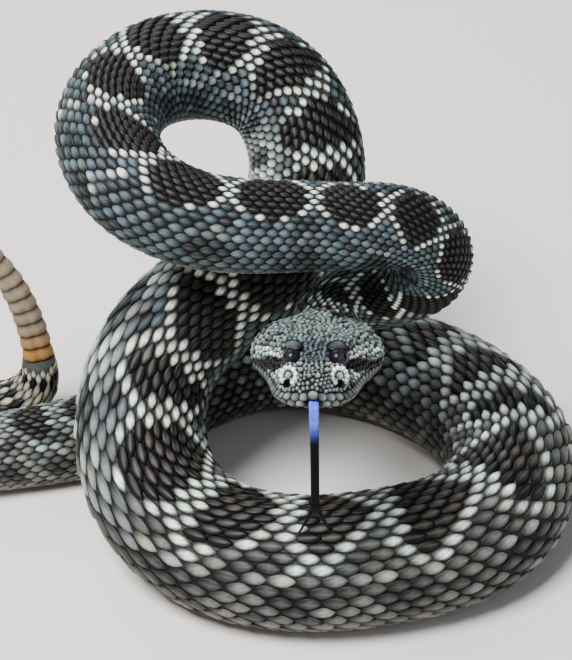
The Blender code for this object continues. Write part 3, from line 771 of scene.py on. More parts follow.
def marks(half_column, row):
    """Shares of brown, pale, blue-grey flank and tan belly over black, for places of the lattice."""
    place = back_lattice.distances(half_column / 2)
    slant = np.interp(place, *zip(*SLANT))
    half_column = half_column - slant * row * smooth(np.abs(row), 10, 7)
    on_right = row > 0
    row = np.abs(row)
    # How far inside a diamond a place is, below zero outside, and how near the middle of a blotch
    last_line = len(PALE_LINES) - 2
    here = np.clip(np.searchsorted(PALE_LINES, half_column, side="right") - 1, 0, last_line)
    inside = np.full(np.shape(here), -9.0)
    blotch = np.full(np.shape(here), 9.0)
    for k in (np.maximum(here - 1, 0), here, np.minimum(here + 1, last_line)):
        first, last = PALE_LINES[k], PALE_LINES[k + 1]
        total = last - first
        reach = row / np.where(on_right, RIGHT_REACH[k], LEFT_REACH[k])
        corner = CORNERS[k]
        tailward = np.interp(corner, BEND_CORNERS, (NEAR_BEND, EVEN_BEND, FAR_BEND))
        headward = np.interp(corner, BEND_CORNERS, (FAR_BEND, EVEN_BEND, NEAR_BEND))
        after = half_column - first - corner * total * reach ** tailward
        before = last - half_column - (1 - corner) * total * reach ** headward
        inside = np.maximum(inside, np.minimum(after, before))
        away = (half_column - first - BLOTCH_SHARE * total) / BLOTCH_HALF
        blotch = np.minimum(blotch, np.hypot(away, (row - BLOTCH_ROW) / BLOTCH_ROWS))
    # A pale line goes round each diamond, whose heart is brown, and a rusty spot lies by each crossing
    from_crossing = np.abs(half_column - PALE_LINES[here])
    pale = smooth(np.abs(inside - 0.5), 1.05, 0.95)
    brown = smooth(inside, 1.9, 2.7)
    outside = smooth(inside, -0.45, -0.55)
    dark = smooth(blotch, 1.1, 0.8)
    rusty = outside * smooth(np.hypot(from_crossing / 1.2, (row - 4.6) / 0.8), 1.1, 0.8)
    # A paler frame goes round the blotch on the flank
    framing = smooth(np.abs(blotch - 1.4), 0.42, 0.25) * smooth(row, 6.6, 5.8)
    flank = outside * (1 - 0.6 * dark - 0.7 * rusty)
    pale = np.maximum(pale, 0.4 * outside * framing)
    brown = np.maximum(brown, outside * np.maximum(dark * 0.5, rusty))
    bright = (0.25 + 0.75 * smooth(half_column, *DULL)) * (1 - 0.16 * smooth(place, 560, 520))
    # From the rising body on, the pale lines fade on the flanks, and bars run out over some of them
    fade_row = np.interp(place, *zip(*FADE_ROWS))
    pale = pale * (1 - 0.7 * smooth(half_column, *FADING) * smooth(row - fade_row, 0.0, 1.2))
    barred = smooth(half_column, *BARRED) * smooth(half_column, *BARRED_END)
    # The left flank of the rising body gets a painted silvery sheen
    painted_sheen = outside * (1 - dark) * on_rise(place) * smooth(row, 4.5, 6.5)
    pale = np.maximum(pale, PAINTED_SHEEN_SHARE * painted_sheen * ~on_right)
    bar = smooth(from_crossing, 1.3, 0.8) * barred * smooth(row, 8.5, 6.5) * on_right
    pale = np.maximum(pale, 0.8 * bar)
    # Tan comes through on the flank of the hind body, most of all low down
    tan = 0.4 * outside * (1 - 0.5 * dark) + 0.15 * outside * (1 - dark) * smooth(row, 7.4, 9.6)
    tan = np.maximum(tan, 0.17 * brown)
    belly = np.maximum(smooth(row, 11.4, 12.4), tan * (1 - 0.9 * smooth(half_column, *GREYER)))
    return np.stack([brown, pale * bright, np.maximum(flank, (1 - bright) * pale), belly], axis=-1)


# Rings of the tail: where each begins, and how pale and how dusky it is
TAIL_RINGS = [(0, 1.0, 0.15), (5.0, 0.0, 0.0), (8.5, 0.5, 0.9), (17.0, 0.0, 0.0), (21.0, 0.85, 0.25),
              (26.5, 0.0, 0.0), (33.5, 0.85, 0.2), (39.5, 0.0, 0.0), (47.5, 0.85, 0.3), (54.5, 0.0, 0.0),
              (63, 0.7, 0.4), (70, 0.0, 0.0)]


def tail_marks(s, row):
    """Shares of dusky brown, pale, grey and cream over black, for places of the tail."""
    starts = np.array([ring[0] for ring in TAIL_RINGS])
    ring = np.clip(np.searchsorted(starts, s, side="right") - 1, 0, len(starts) - 1)
    pale = np.array([ring[1] for ring in TAIL_RINGS])[ring]
    dusk = np.array([ring[2] for ring in TAIL_RINGS])[ring]
    return np.stack([dusk, pale, 0.0 * pale, 0.35 * smooth(np.abs(row), 7, 9) * pale], axis=-1)


rng = np.random.default_rng(7)


def tones(count, spread=1.0):
    """Small chance differences of one scale from the next: lightness, warmth, and a spare number."""
    return np.column_stack([rng.normal(0, spread, count), rng.normal(0, spread, count), rng.random(count)])


def hex_colour(code):
    """Linear colour of an sRGB hex value."""
    parts = [int(code[i:i + 2], 16) / 255 for i in (0, 2, 4)]
    linear = [p / 12.92 if p <= 0.04045 else ((p + 0.055) / 1.055) ** 2.4 for p in parts]
    return (*linear, 1.0)


def add_node(tree, kind, settings=None, inputs=None):
    """Adds a node with its settings, and sets or links its inputs."""
    node = tree.nodes.new(kind)
    for word, value in (settings or {}).items():
        setattr(node, word, value)
    for word, value in (inputs or {}).items():
        if isinstance(value, bpy.types.NodeSocket):
            tree.links.new(value, node.inputs[word])
        else:
            node.inputs[word].default_value = value
    return node


def new_material(name, roughness, specular=0.5):
    """A material with its shader, and constant values on the shader's own sockets."""
    material = bpy.data.materials.new(name)
    material.use_nodes = True
    tree = material.node_tree
    shader = tree.nodes["Principled BSDF"]
    shader.inputs["Roughness"].default_value = roughness
    shader.inputs["IOR"].default_value = 1.54
    shader.inputs["Specular IOR Level"].default_value = specular
    return material, tree, shader


# Settings of a node that mixes two colours, and of one that multiplies them
BLEND = {"data_type": "RGBA"}
MULTIPLY = {"data_type": "RGBA", "blend_type": "MULTIPLY"}

# Real sizes of the patterns in millimetres: the grain in the horn of a scale, its fine roughness, which is
# drawn coarser than the real one so that it shows, the specks of the iris, the mottles of the tongue, and the
# clouds and growth lines of the rattle
GRAIN_SIZE = 1 / 0.9
FINE_SIZE = 1 / 2.6
IRIS_SPECK = 0.5
TONGUE_MOTTLE = 1.2
RATTLE_CLOUD = 3.0
RATTLE_LINE = 0.5


def scaly(name, ground, colours, roughness, painted_keel_highlight, dark_rim_and_shade, shade=1.0, painted_shading=0.0):
    """Scales of keratin, matt with a low shine: flat colour cells, dark at the rim partly by painted shade,
    shaded at the root and lit at the tip with painted light, and a painted highlight on the keel.
    """
    material, tree, shader = new_material(name, roughness, 0.18)
    marking = add_node(tree, "ShaderNodeAttribute", {"attribute_name": "marking"})
    relief = add_node(tree, "ShaderNodeAttribute", {"attribute_name": "relief"})
    tone = add_node(tree, "ShaderNodeAttribute", {"attribute_name": "tone"})
    shares = add_node(tree, "ShaderNodeSeparateColor", {}, {0: marking.outputs["Color"]}).outputs
    edge, keel, along = add_node(tree, "ShaderNodeSeparateXYZ", {}, {0: relief.outputs["Vector"]}).outputs
    chances = add_node(tree, "ShaderNodeSeparateXYZ", {}, {0: tone.outputs["Vector"]}).outputs
    place = add_node(tree, "ShaderNodeTexCoord").outputs["Object"]
    # The second colour, of the pale marks, lies over the third, and the fourth lies over all
    colour = hex_colour(ground)
    for i, share in ((0, shares[0]), (2, shares[2]), (1, shares[1]), (3, marking.outputs["Alpha"])):
        colour = add_node(tree, "ShaderNodeMix", BLEND,
                          {0: share, 6: colour, 7: hex_colour(colours[i])}).outputs[2]
    # Each scale differs a little from the next in lightness, and grain runs through its horn
    grain = add_node(tree, "ShaderNodeTexNoise", {},
                     {0: place, "Scale": 1 / (GRAIN_SIZE * MM), "Detail": 3.0})
    speck = add_node(tree, "ShaderNodeMapRange", {}, {0: grain.outputs[0], 1: 0.3, 2: 0.7, 3: 0.82, 4: 1.18})
    lightness = add_node(tree, "ShaderNodeMath", {"operation": "MULTIPLY_ADD"},
                         {0: chances[0], 1: 0.16, 2: shade})
    factor = add_node(tree, "ShaderNodeMath", {"operation": "MULTIPLY"},
                      {0: lightness.outputs[0], 1: speck.outputs[0]}).outputs[0]
    grey = add_node(tree, "ShaderNodeCombineColor", {}, {0: factor, 1: factor, 2: factor})
    colour = add_node(tree, "ShaderNodeMix", MULTIPLY, {0: 1.0, 6: colour, 7: grey.outputs[0]}).outputs[2]
    # It differs in warmth too
    warm = add_node(tree, "ShaderNodeMapRange", {}, {0: chances[1], 1: -1.0, 2: 2.5, 3: 0.0, 4: 0.5})
    warmer = add_node(tree, "ShaderNodeMix", MULTIPLY, {0: 1.0, 6: colour, 7: hex_colour("ffe8c4")})
    colour = add_node(tree, "ShaderNodeMix", BLEND,
                      {0: warm.outputs[0], 6: colour, 7: warmer.outputs[2]}).outputs[2]
    # The keel is a fine painted highlight streak
    ridge = add_node(tree, "ShaderNodeMapRange", {}, {0: keel, 1: 0.35, 2: 1.0, 3: 0.0, 4: painted_keel_highlight})
    keel_highlight_colour = add_node(tree, "ShaderNodeMix", BLEND, {0: 0.3, 6: colour, 7: hex_colour("9d9080")})
    colour = add_node(tree, "ShaderNodeMix", BLEND,
                      {0: ridge.outputs[0], 6: colour, 7: keel_highlight_colour.outputs[2]}).outputs[2]
    # Each scale has painted shade at its root, under the tips of those before it, and a painted highlight
    # towards its tip
    tip = add_node(tree, "ShaderNodeMapRange", {},
                   {0: along, 1: 0.1, 2: 0.9, 3: 1 - painted_shading, 4: 1 + 0.4 * painted_shading}).outputs[0]
    painted_shade_grey = add_node(tree, "ShaderNodeCombineColor", {}, {0: tip, 1: tip, 2: tip})
    colour = add_node(tree, "ShaderNodeMix", MULTIPLY, {0: 1.0, 6: colour, 7: painted_shade_grey.outputs[0]}).outputs[2]
    # The rims are dark, partly the scales' own dark edge and partly painted shade in the gaps and under the tips
    # before them; they are less dark where the third colour is, on the flank and the crown
    eased = add_node(tree, "ShaderNodeMath", {"operation": "MULTIPLY_ADD"},
                     {0: shares[2], 1: -0.4 * dark_rim_and_shade, 2: dark_rim_and_shade})
    rim = add_node(tree, "ShaderNodeMath", {"operation": "MULTIPLY"}, {0: edge, 1: eased.outputs[0]})
    colour = add_node(tree, "ShaderNodeMix", BLEND, {0: rim.outputs[0], 6: colour, 7: hex_colour("060606")})
    tree.links.new(colour.outputs[2], shader.inputs["Base Color"])
    fine = add_node(tree, "ShaderNodeTexNoise", {}, {0: place, "Scale": 1 / (FINE_SIZE * MM), "Detail": 2.0})
    bump = add_node(tree, "ShaderNodeBump", {},
                    {"Strength": 0.25, "Distance": 0.0002, "Height": fine.outputs[0]})
    tree.links.new(bump.outputs[0], shader.inputs["Normal"])
    return material


# Keratin scales of the body: black ground, dark brown, chalky white, the flank's blue-grey, the belly's tan
BODY_COLOURS = ("1a1411", "f2fff4", "43545b", "7d776a")
body_keratin = scaly("keratin, keeled dorsal scales", "060606", BODY_COLOURS, 0.5, 0.45, 0.95, painted_shading=0.85)
belly_keratin = scaly("keratin, belly scutes", "0e0c0d", BODY_COLOURS, 0.4, 0.0, 0.45)
tail_keratin = scaly("keratin, ringed tail scales", "0c0b0c", ("5c463c", "c9c8b4", "6c7563", "b9ae90"),
                     0.42, 0.3, 0.7)
# The hide between the scales is near-black: its own dark colour, deepened to stand for painted shade in the gaps
dark_hide_and_shade = scaly("dark hide between the scales, with painted shade", "0a0909", BODY_COLOURS, 0.75, 0.0, 0.0, 0.04)


# Stripes of the side of the head: points (side, distance from the nape, height), half width. Then the crown's
# lower edge, the middle of the ring by the nostril, and the patches on the nape and the forehead with their
# reaches
PALE_BEHIND_EYE = ([(9.8, 32.5, 5.2), (13.0, 27.5, 4.9), (15.5, 23.0, 4.3), (19.2, 16.0, 3.2),
                    (20.4, 12.0, 2.4), (18.0, 6.0, 0.5)], 1.25)
PALE_BEFORE_EYE = ([(9.0, 38.5, 3.0), (11.5, 35.5, 0.4), (13.8, 32.0, -2.0), (15.4, 29.0, -3.6)], 1.05)
DARK_CHEEK = ([(10.8, 32.0, 2.0), (14.5, 25.5, 0.3), (18.3, 17.0, -1.2), (17.5, 9.0, -3.5)], 2.7)
# The dark arc over the eye is painted shadow under the brow's overhang
EYE_BROW_SHADOW = ([(8.0, 41.0, 5.4), (8.6, 38.0, 7.6), (9.6, 33.5, 7.6), (10.2, 31.6, 5.6)], 1.1)
DARK_LIP = ([(8.6, 45.8, -1.6), (11.0, 42.0, -2.4), (12.8, 37.0, -2.8)], 1.2)
CROWN_EDGE = -3.0
NOSE_RING = NOSE_DISC[0]
NAPE_PATCH = (-6.8, 0.5, 11.0)
NAPE_PATCH_REACH = (3.6, 5.6, 5.0)
FOREHEAD = (0.0, 39.0, 8.5)
FOREHEAD_REACH = (7.5, 9.0, 9.0)


def folded(local):
    """Places of the head brought to its right side."""
    return np.stack([np.abs(local[..., 0]), local[..., 1], local[..., 2]], axis=-1)


def beside_line(local, line):
    """Distance of points from a line of the head, on the nearer side."""
    points = np.array(line, float)
    local = folded(local)
    best = np.full(local.shape[:-1], 1e9)
    for start, end in zip(points, points[1:]):
        along = end - start
        share = np.clip(((local - start) @ along) / (along @ along), 0, 1)
        best = np.minimum(best, np.linalg.norm(local - start - share[..., None] * along, axis=-1))
    return best


def head_marks(local):
    """Shares of dark mask with painted shade round the eyes, pale stripe, crown and bluish forehead over the
    jaw's brown, for places.
    """
    def band(line):
        path, half = line
        return smooth(beside_line(local, path), half + 0.35, half - 0.35)

    along, high = local[..., 1], local[..., 2]
    patch = smooth(np.linalg.norm((local - NAPE_PATCH) / NAPE_PATCH_REACH, axis=-1), 1.1, 0.8)
    # Round each eye the dark mask takes in painted shade of the socket under the brow
    socket = smooth(np.linalg.norm(folded(local) - EYE_PLACE, axis=-1), 5.3, 4.6) * smooth(high, 11.0, 9.0)
    mask = np.maximum.reduce([band(DARK_CHEEK), band(EYE_BROW_SHADOW), 0.7 * band(DARK_LIP), patch, 0.9 * socket])
    ring = np.linalg.norm(folded(local) - NOSE_RING, axis=-1)
    ring = smooth(np.abs(ring - 2.5), 1.2, 0.9) * smooth(high, -0.6, 0.2)
    snout = smooth(along, 46, 50) * smooth(high, 6.5, 4.5) * (1 - ring)
    lip_edge = smooth(np.abs(high - mouth_height(along) - 0.6), 0.7, 0.3) * smooth(along, 30, 40)
    pale = np.maximum.reduce([band(PALE_BEHIND_EYE), band(PALE_BEFORE_EYE), ring, 0.55 * lip_edge])
    pale = pale * (1 - socket)
    crown = (1 - mask) * (1 - 0.55 * snout) * smooth(high, CROWN_EDGE, CROWN_EDGE + 0.8)
    from_forehead = np.linalg.norm((local - FOREHEAD) / FOREHEAD_REACH, axis=-1)
    blue = 0.85 * (1 - mask) * smooth(from_forehead, 1.15, 0.7) * (1 - pale)
    return np.stack([mask, pale, crown, blue], axis=-1)


# Keratin of the head: brown jaw ground, black mask that also carries painted shade round the eyes, chalky
# stripes, grey-green crown, bluish forehead
HEAD_COLOURS = ("0c0a0c", "f4fff6", "93a8a5", "424f5f")
head_keratin = scaly("keratin, small head scales", "565250", HEAD_COLOURS, 0.46, 0.2, 0.98, painted_shading=0.9)


# The skin's grid: faces round the body, steps along the body and the head, and the finer steps' start
SKIN_ROUND = 144
SKIN_STEP = 2.5
SKIN_HEAD_STEP = 0.45
SKIN_FINE = NAPE - 4
# The groove of the mouth, and the slot that the tongue comes out of
GROOVE_DEPTH = 0.9
SLOT_HEIGHT = -3.7
SLOT_DEPTH = 3.0


def make_skin():
    """One closed skin from the tail's tip to the snout, under the scales."""
    phi = np.arange(SKIN_ROUND) * 360.0 / SKIN_ROUND
    s = np.concatenate([np.arange(0.0, SKIN_FINE, SKIN_STEP),
                        np.arange(SKIN_FINE, NAPE + HEAD_LENGTH, SKIN_HEAD_STEP),
                        np.linspace(NAPE + HEAD_LENGTH, SNOUT - 0.15, SNOUT_RINGS)])
    grid_s, grid_phi = np.meshgrid(s, phi, indexing="ij")
    points, normals = surface.at(grid_s, grid_phi)
    points = points - normals * coat_depth(grid_s)[..., None]
    # The eye sockets, the pits and the nostrils: place, reach, depth
    first = np.searchsorted(s, NAPE + 8)
    part, facing = points[first:], normals[first:]
    for place, reach, depth in ((EYE_PLACE, 4.0, 2.2), (PIT_MOUTH, 2.1, 2.2), (NOSTRIL_MOUTH, 1.6, 1.7)):
        part = dent(part, facing, place, reach, depth)
    local = body.in_head(part)
    gap = np.abs(local[..., 2] - mouth_height(local[..., 1]))
    groove = smooth(gap, 0.8, 0.1) * smooth(local[..., 1], MOUTH_CORNER - 1.5, MOUTH_CORNER + 1.5)
    part = part - facing * (GROOVE_DEPTH * groove)[..., None]
    slot = smooth(np.abs(local[..., 0]), 1.9, 1.3) * smooth(np.abs(local[..., 2] - SLOT_HEIGHT), 1.5, 1.0)
    slot = slot * smooth(local[..., 1], 49.0, 51.0)
    points[first:] = part - body.head_axes[1] * (SLOT_DEPTH * slot)[..., None]
    points[..., 2] = np.maximum(points[..., 2], 0.05)
    half_column = 2 * back_lattice.columns(grid_s)
    row = (np.mod(grid_phi + 180, 360) - 180) / MARK_ANGLE
    marking = np.where((grid_s < VENT)[..., None], tail_marks(grid_s, row), marks(half_column, row))
    on_head = grid_s > NAPE + 2
    head_local = body.in_head(points)
    marking = np.where(on_head[..., None], head_marks(head_local), marking)
    zeros = np.zeros((*grid_s.shape, 3))
    piece = tube("skin", points, {"marking": marking, "relief": zeros, "tone": zeros})
    piece.data.materials.append(dark_hide_and_shade)
    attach(piece, "root")
    flesh = [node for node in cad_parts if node.startswith(("tail_", "body_", "neck_"))]
    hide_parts(*flesh, "head", "lower_jaw")


def make_dorsal():
    """The rows of keeled scales round the back and flanks of the body, and the belly's scutes."""
    rows, columns, s = back_lattice.rows(BODY_ROWS, VENT - 1, DORSAL_END)
    phi = row_angle(rows)
    jitter = 1 + 0.03 * rng.standard_normal(len(s))
    length = SCALE_LENGTH * back_lattice.pitch(s) * np.clip(surface.stretch(s, phi), 0.5, 1.15) * jitter
    spacing = BACK_ROW_ANGLE + ROW_GROWTH * np.abs(rows)
    width = SCALE_WIDTH * spacing * surface.arc(s, phi)
    low = np.abs(rows) > SMOOTH_FROM
    width = np.where(low, width * SMOOTH_WIDTH, width)
    depth = coat_depth(s)
    marking = marks(2 * columns, phi / MARK_ANGLE)
    # The scales of the flank differ more, and those on the left of the rising body are painted lighter as a
    # painted sheen
    tone = tones(len(s))
    tone[:, 0] = np.maximum(tone[:, 0] * (1 + 2.2 * marking[:, 2]), -4.0)
    tone[:, 0] += 2.2 * smooth(-rows, 4.5, 6.5) * on_rise(s)
    turn = rng.normal(0, 1.5, len(s))
    for i, (first, last) in enumerate(zip(COAT_CUTS, COAT_CUTS[1:])):
        coat = Coat()
        for model, kind in ((KEELED, ~low), (SMOOTH, low)):
            pick = (s >= first) & (s < last) & kind
            points = lay(model, s[pick], phi[pick], turn[pick], length[pick], width[pick], depth[pick])
            coat.add(model, points, s[pick], phi[pick], marking[pick], tone[pick])
        coat.finish(f"dorsal_scales_{i + 1}", body_keratin)
    coat = Coat()
    s, columns = back_lattice.middle_row(VENT, DORSAL_END)
    add_scutes(coat, back_lattice, s, BELLY_SPREAD, marks(2 * columns, np.full(len(s), 13.0)))
    coat.finish("belly_scutes", belly_keratin)


def add_scutes(coat, lattice, s, spread, marking):
    """Adds scutes that reach round the underside, spread degrees to each side."""
    middle = np.full(len(s), 180.0)
    half = SCUTE_LENGTH * lattice.pitch(s) * np.maximum(surface.stretch(s, middle), 0.55)
    u, v, high = SCUTE.points.T
    phi = 180.0 + v * spread
    place_phi = np.broadcast_to(phi, (len(s), len(phi)))
    grid_s = np.broadcast_to(s[:, None], place_phi.shape)
    place_s = s[:, None] - u * half[:, None] / np.maximum(surface.stretch(grid_s, place_phi), 0.5)
    points, normals = surface.at(np.clip(place_s, 0.1, SNOUT), place_phi)
    points = points + normals * ((high[None] - 1) * coat_depth(s)[:, None])[..., None]
    points[..., 2] = np.maximum(points[..., 2], LOWEST)
    coat.add(SCUTE, points, s, middle, marking, tones(len(s), 0.5))


def make_tail():
    """The rows of scales round the tail and the scutes under it."""
    lattice = Lattice(TAIL_PITCH)
    rows, s = lattice.rows(TAIL_ROWS, 1.2, VENT + 1)[::2]
    phi = rows * TAIL_ROW_ANGLE
    length = SCALE_LENGTH * lattice.pitch(s) * np.maximum(surface.stretch(s, phi), 0.5)
    width = TAIL_SCALE_WIDTH * TAIL_ROW_ANGLE * surface.arc(s, phi)
    coat = Coat()
    points = lay(KEELED, s, phi, np.zeros(len(s)), length, width, coat_depth(s))
    coat.add(KEELED, points, s, phi, tail_marks(s, rows), tones(len(s), 0.7))
    s = lattice.middle_row(2, VENT + 1)[0]
    add_scutes(coat, lattice, s, TAIL_SPREAD, tail_marks(s, np.full(len(s), 9.0)))
    coat.finish("tail_scales", tail_keratin)


class HeadSurface:
    """The head's outer surface, on which the nearest place to any point is found."""

    def __init__(self):
        self.first = int(np.searchsorted(surface.s, NAPE - 11))
        grid = surface.grid[self.first:]
        self.steps = grid.shape[1] - 1
        index = np.arange(grid.shape[0] * grid.shape[1]).reshape(grid.shape[:2])
        faces = np.stack([index[:-1, :-1], index[:-1, 1:], index[1:, 1:], index[1:, :-1]], axis=-1)
        self.tree = BVHTree.FromPolygons(grid.reshape(-1, 3).tolist(), faces.reshape(-1, 4).tolist())

    def nearest(self, points):
        """Nearest places of the surface, the ways out there, distances along the body and angles."""
        shape = np.shape(points)
        hits = [self.tree.find_nearest(point) for point in np.reshape(points, (-1, 3)).tolist()]
        places, facing, faces = zip(*(hit[:3] for hit in hits))
        s = surface.s[self.first + np.array(faces) // self.steps]
        phi = surface.phi[np.array(faces) % self.steps]
        return (np.array(places).reshape(shape), np.array(facing).reshape(shape),
                s.reshape(shape[:-1]), phi.reshape(shape[:-1]))


head_surface = HeadSurface()


def on_surface(place):
    """The nearest place of the head's surface, in the head's own axes."""
    return body.in_head(head_surface.nearest(body.from_head(np.array([place])))[0])[0]


PIT_MOUTH = on_surface(PIT_PLACE)
NOSTRIL_MOUTH = on_surface(NOSTRIL_PLACE)


def lay_on_head(coat, model, places, ahead, length, width, rise=0.0, spread=0.0, marking=None, dusky=0.0):
    """Adds copies of a model at places of the head, pointing ahead, raised by a share of their depth."""
    places, facing, s, phi = head_surface.nearest(places)
    ahead = unit(ahead - facing * dot(ahead, facing)[:, None])
    beside = np.cross(facing, ahead)
    u, v, high = model.points.T
    length, width = np.broadcast_to(length, len(s)), np.broadcast_to(width, len(s))
    flat = (places[:, None] + ahead[:, None] * (u * length[:, None])[..., None]
            + beside[:, None] * (v * width[:, None])[..., None])
    points, outwards = head_surface.nearest(flat)[:2]
    outwards = unit(0.5 * outwards + 0.5 * facing[:, None])
    if marking is None:
        marking = head_marks(body.in_head(points))
    else:
        marking = np.broadcast_to(marking, (*points.shape[:2], 4))
    depth = coat_depth(s)[:, None] * (1 + 0.15 * np.asarray(spread))
    points = points + outwards * ((high[None] - 1 + rise) * depth)[..., None]
    tone = tones(len(s), 1.6)
    tone[:, 0] -= DUSK * (rng.random(len(s)) < dusky)
    coat.add(model, points, s, phi, marking.reshape(-1, 4), tone)


def tailwards(count):
    """The way that head scales point: to the tail, and up where the snout faces forwards."""
    heading, back = body.head_axes[1:]
    return np.tile(unit(0.35 * back - heading), (count, 1))


def in_front(places):
    """Places of the head's own axes, as rows (side, distance, height), in the shared frame."""
    return body.from_head(np.atleast_2d(places))


# Plates of the right side of the head and of its middle: place, half length, half width, and for those of
# the side how much of the way they point is outwards
BROW_PLATE = ((7.2, 36.4, 9.0), 2.7, 3.6, -0.12)
# The brow plates are painted dark, a painted shadow along the brow's overhanging edge
BROW_SHADE_MARKING = (1.0, 0.0, 0.25, 0.25)
SIDE_PLATES = [
    ((4.2, 46.8, 6.0), 1.6, 1.05, 0.3), ((4.2, 43.8, 7.0), 1.6, 1.0, 0.2), ((4.3, 40.9, 8.0), 1.4, 1.0, 0.2),
    ((3.9, 49.9, 4.8), 1.3, 1.0, 0.5), ((1.3, 52.6, 3.6), 1.1, 0.95, 0.1),
    ((2.4, 47.5, -8.0), 3.4, 1.7, 0.15), (NOSE_DISC[0], 1.35, 1.3, 0.0),
]
MIDDLE_PLATES = [((0.0, 55.2, -1.9), 1.55, 1.75), ((0.0, 54.4, -5.2), 1.1, 1.7)]
# The lips: height over the mouth, step and half width of their plates, how near the middle of the snout they
# end, and their marking
LIP_STEPS = ((1.5, 2.9, 1.4), (-1.5, 3.0, 1.4))
LIP_END = 2.5
LIP_MARKING = (0.05, 0.0, 0.35, 0.25)
# How much darker the dusky scales among those of the crown are
DUSK = 3.4
# Rings of scales round the eyes, the pits and the nostrils: number, radius, half length and half width. They
# face forwards by a share, and the brow leaves the ring of the eye open between two angles
EYE_RING = (14, 4.1, 0.7, 0.62)
PIT_RING = (10, 1.9, 0.5, 0.5)
NOSE_BEADS = (11, 2.4, 1.1, 0.98)
FACING_SHARE = 0.9
OPEN_BROW = (25.0, 155.0)


def ring_places(centre, count, radius, sign):
    """Places round a centre on the side of the head, and the ways away from it."""
    middle = body.from_head(np.array(centre) * (sign, 1, 1))
    facing = unit(head_surface.nearest(middle[None])[1][0] + FACING_SHARE * body.head_axes[1])
    level = unit(body.head_axes[1] - facing * dot(body.head_axes[1], facing))
    rise = np.cross(facing, level) * sign
    turn = np.arange(count) * 2 * math.pi / count + 0.2
    rise = rise * np.sign(dot(rise, body.head_axes[2]))
    away = np.cos(turn)[:, None] * level + np.sin(turn)[:, None] * rise
    return middle + away * radius, away, np.degrees(turn) % 360


def lip_places(height, step, sign):
    """Places evenly apart along the lip, some way above or below the mouth, and the ways back along it."""
    d = np.arange(MOUTH_CORNER + 1.5, HEAD_LENGTH - 0.6, 0.1)
    knots = [row[0] for row in HEAD]
    wide = np.interp(d, knots, [row[5][0] for row in HEAD]) + 0.5
    line = np.column_stack([sign * wide, d, mouth_height(d) + height])
    # Round the front of the snout
    across = np.arange(wide[-1], LIP_END, -0.1)
    front = np.column_stack([sign * across, np.full(len(across), HEAD_LENGTH + 0.8),
                             np.full(len(across), line[-1, 2])])
    line = head_surface.nearest(in_front(np.concatenate([line, front])))[0]
    run = np.concatenate([[0], np.cumsum(np.linalg.norm(np.diff(line, axis=0), axis=1))])
    wanted = np.arange(step / 2, run[-1], step)
    at = np.column_stack([np.interp(wanted, run, line[:, i]) for i in range(3)])
    before = np.column_stack([np.interp(wanted - 0.5, run, line[:, i]) for i in range(3)])
    return at, unit(before - at)


def head_size(local):
    """Width of the small scales over the head."""
    side, along, high = np.abs(local[..., 0]), local[..., 1], local[..., 2]
    size = 1.5 + 0.35 * smooth(along, 22, 4) + 0.35 * smooth(along, 6, -8) + 0.35 * smooth(side, 8, 14)
    size = size + 0.9 * smooth(high, -4, -7) - 0.2 * smooth(along, 36, 44) * smooth(high, 3, 5)
    size = size - 0.15 * smooth(along, 46, 50) * smooth(high, -4, -2)
    return size


def in_opening(local):
    """Whether places of the head are at the eyes, the pits, the nostrils or in the mouth."""
    side = folded(local)
    eye = np.linalg.norm(side - EYE_PLACE, axis=-1) < EYE_RADIUS + 1.15
    pit = np.linalg.norm(side - PIT_MOUTH, axis=-1) < 1.8
    nostril = np.linalg.norm(side - NOSTRIL_MOUTH, axis=-1) < 1.5
    mouth = (np.abs(local[..., 2] - mouth_height(local[..., 1])) < 1.0) & (local[..., 1] > MOUTH_CORNER)
    return eye | pit | nostril | mouth


# How the small scales of the head are strewn and pressed apart: how many places are tried, the turns of
# pressing, and as shares of the scales' sizes how near they may be strewn, how far apart they are pressed,
# how far they move in a turn, and how clear they stay of the plates
TRIALS = 110000
PACKING_TURNS = 14
STREWN_APART = 0.42
PRESSED_APART = 0.52
PACKING_STEP = 0.35
PLATE_GAP = 0.12


def packed(held, radii):
    """Places of small scales pressed apart over the head until they lie evenly, clear of the held ones."""
    first = np.searchsorted(surface.s, HEAD_START)
    last = len(surface.s) - 3
    s = rng.uniform(surface.s[first], surface.s[last], TRIALS)
    phi = rng.uniform(0, 360, TRIALS)
    area = np.linalg.norm(np.cross(surface.blend(surface.by_s, s, phi),
                                   surface.blend(surface.by_phi, s, phi)), axis=-1)
    keep = rng.random(len(s)) < area / area.max()
    s, phi = s[keep], phi[keep]
    places = surface.at(s, phi)[0]
    sizes = head_size(body.in_head(places))
    chosen = held.copy()
    widths = 2 * radii
    for place, size in zip(places, sizes):
        away = np.linalg.norm(chosen - place, axis=1)
        if (away > STREWN_APART * (widths + size)).all():
            chosen = np.vstack([chosen, place])
            widths = np.append(widths, size)
    fixed = len(held)
    free = chosen[fixed:]
    for _ in range(PACKING_TURNS):
        size = head_size(body.in_head(free))
        everything = np.vstack([held, free])
        widths = np.concatenate([2 * radii, size])
        gap = free[:, None] - everything[None]
        away = np.linalg.norm(gap, axis=-1) + 1e-6
        wanted = PRESSED_APART * (widths[None] + size[:, None])
        push = np.clip(wanted - away, 0, None) / wanted * (away > 1e-3)
        free = free + PACKING_STEP * size[:, None] * (gap / away[..., None] * push[..., None]).sum(axis=1)
        free = head_surface.nearest(free)[0]
    local = body.in_head(free)
    gap = np.linalg.norm(free[:, None] - held[None], axis=-1) - radii[None]
    clear = (gap > PLATE_GAP * head_size(local)[:, None]).all(axis=1)
    s = head_surface.nearest(free)[2]
    return free[clear & ~in_opening(local) & (s > HEAD_START)]


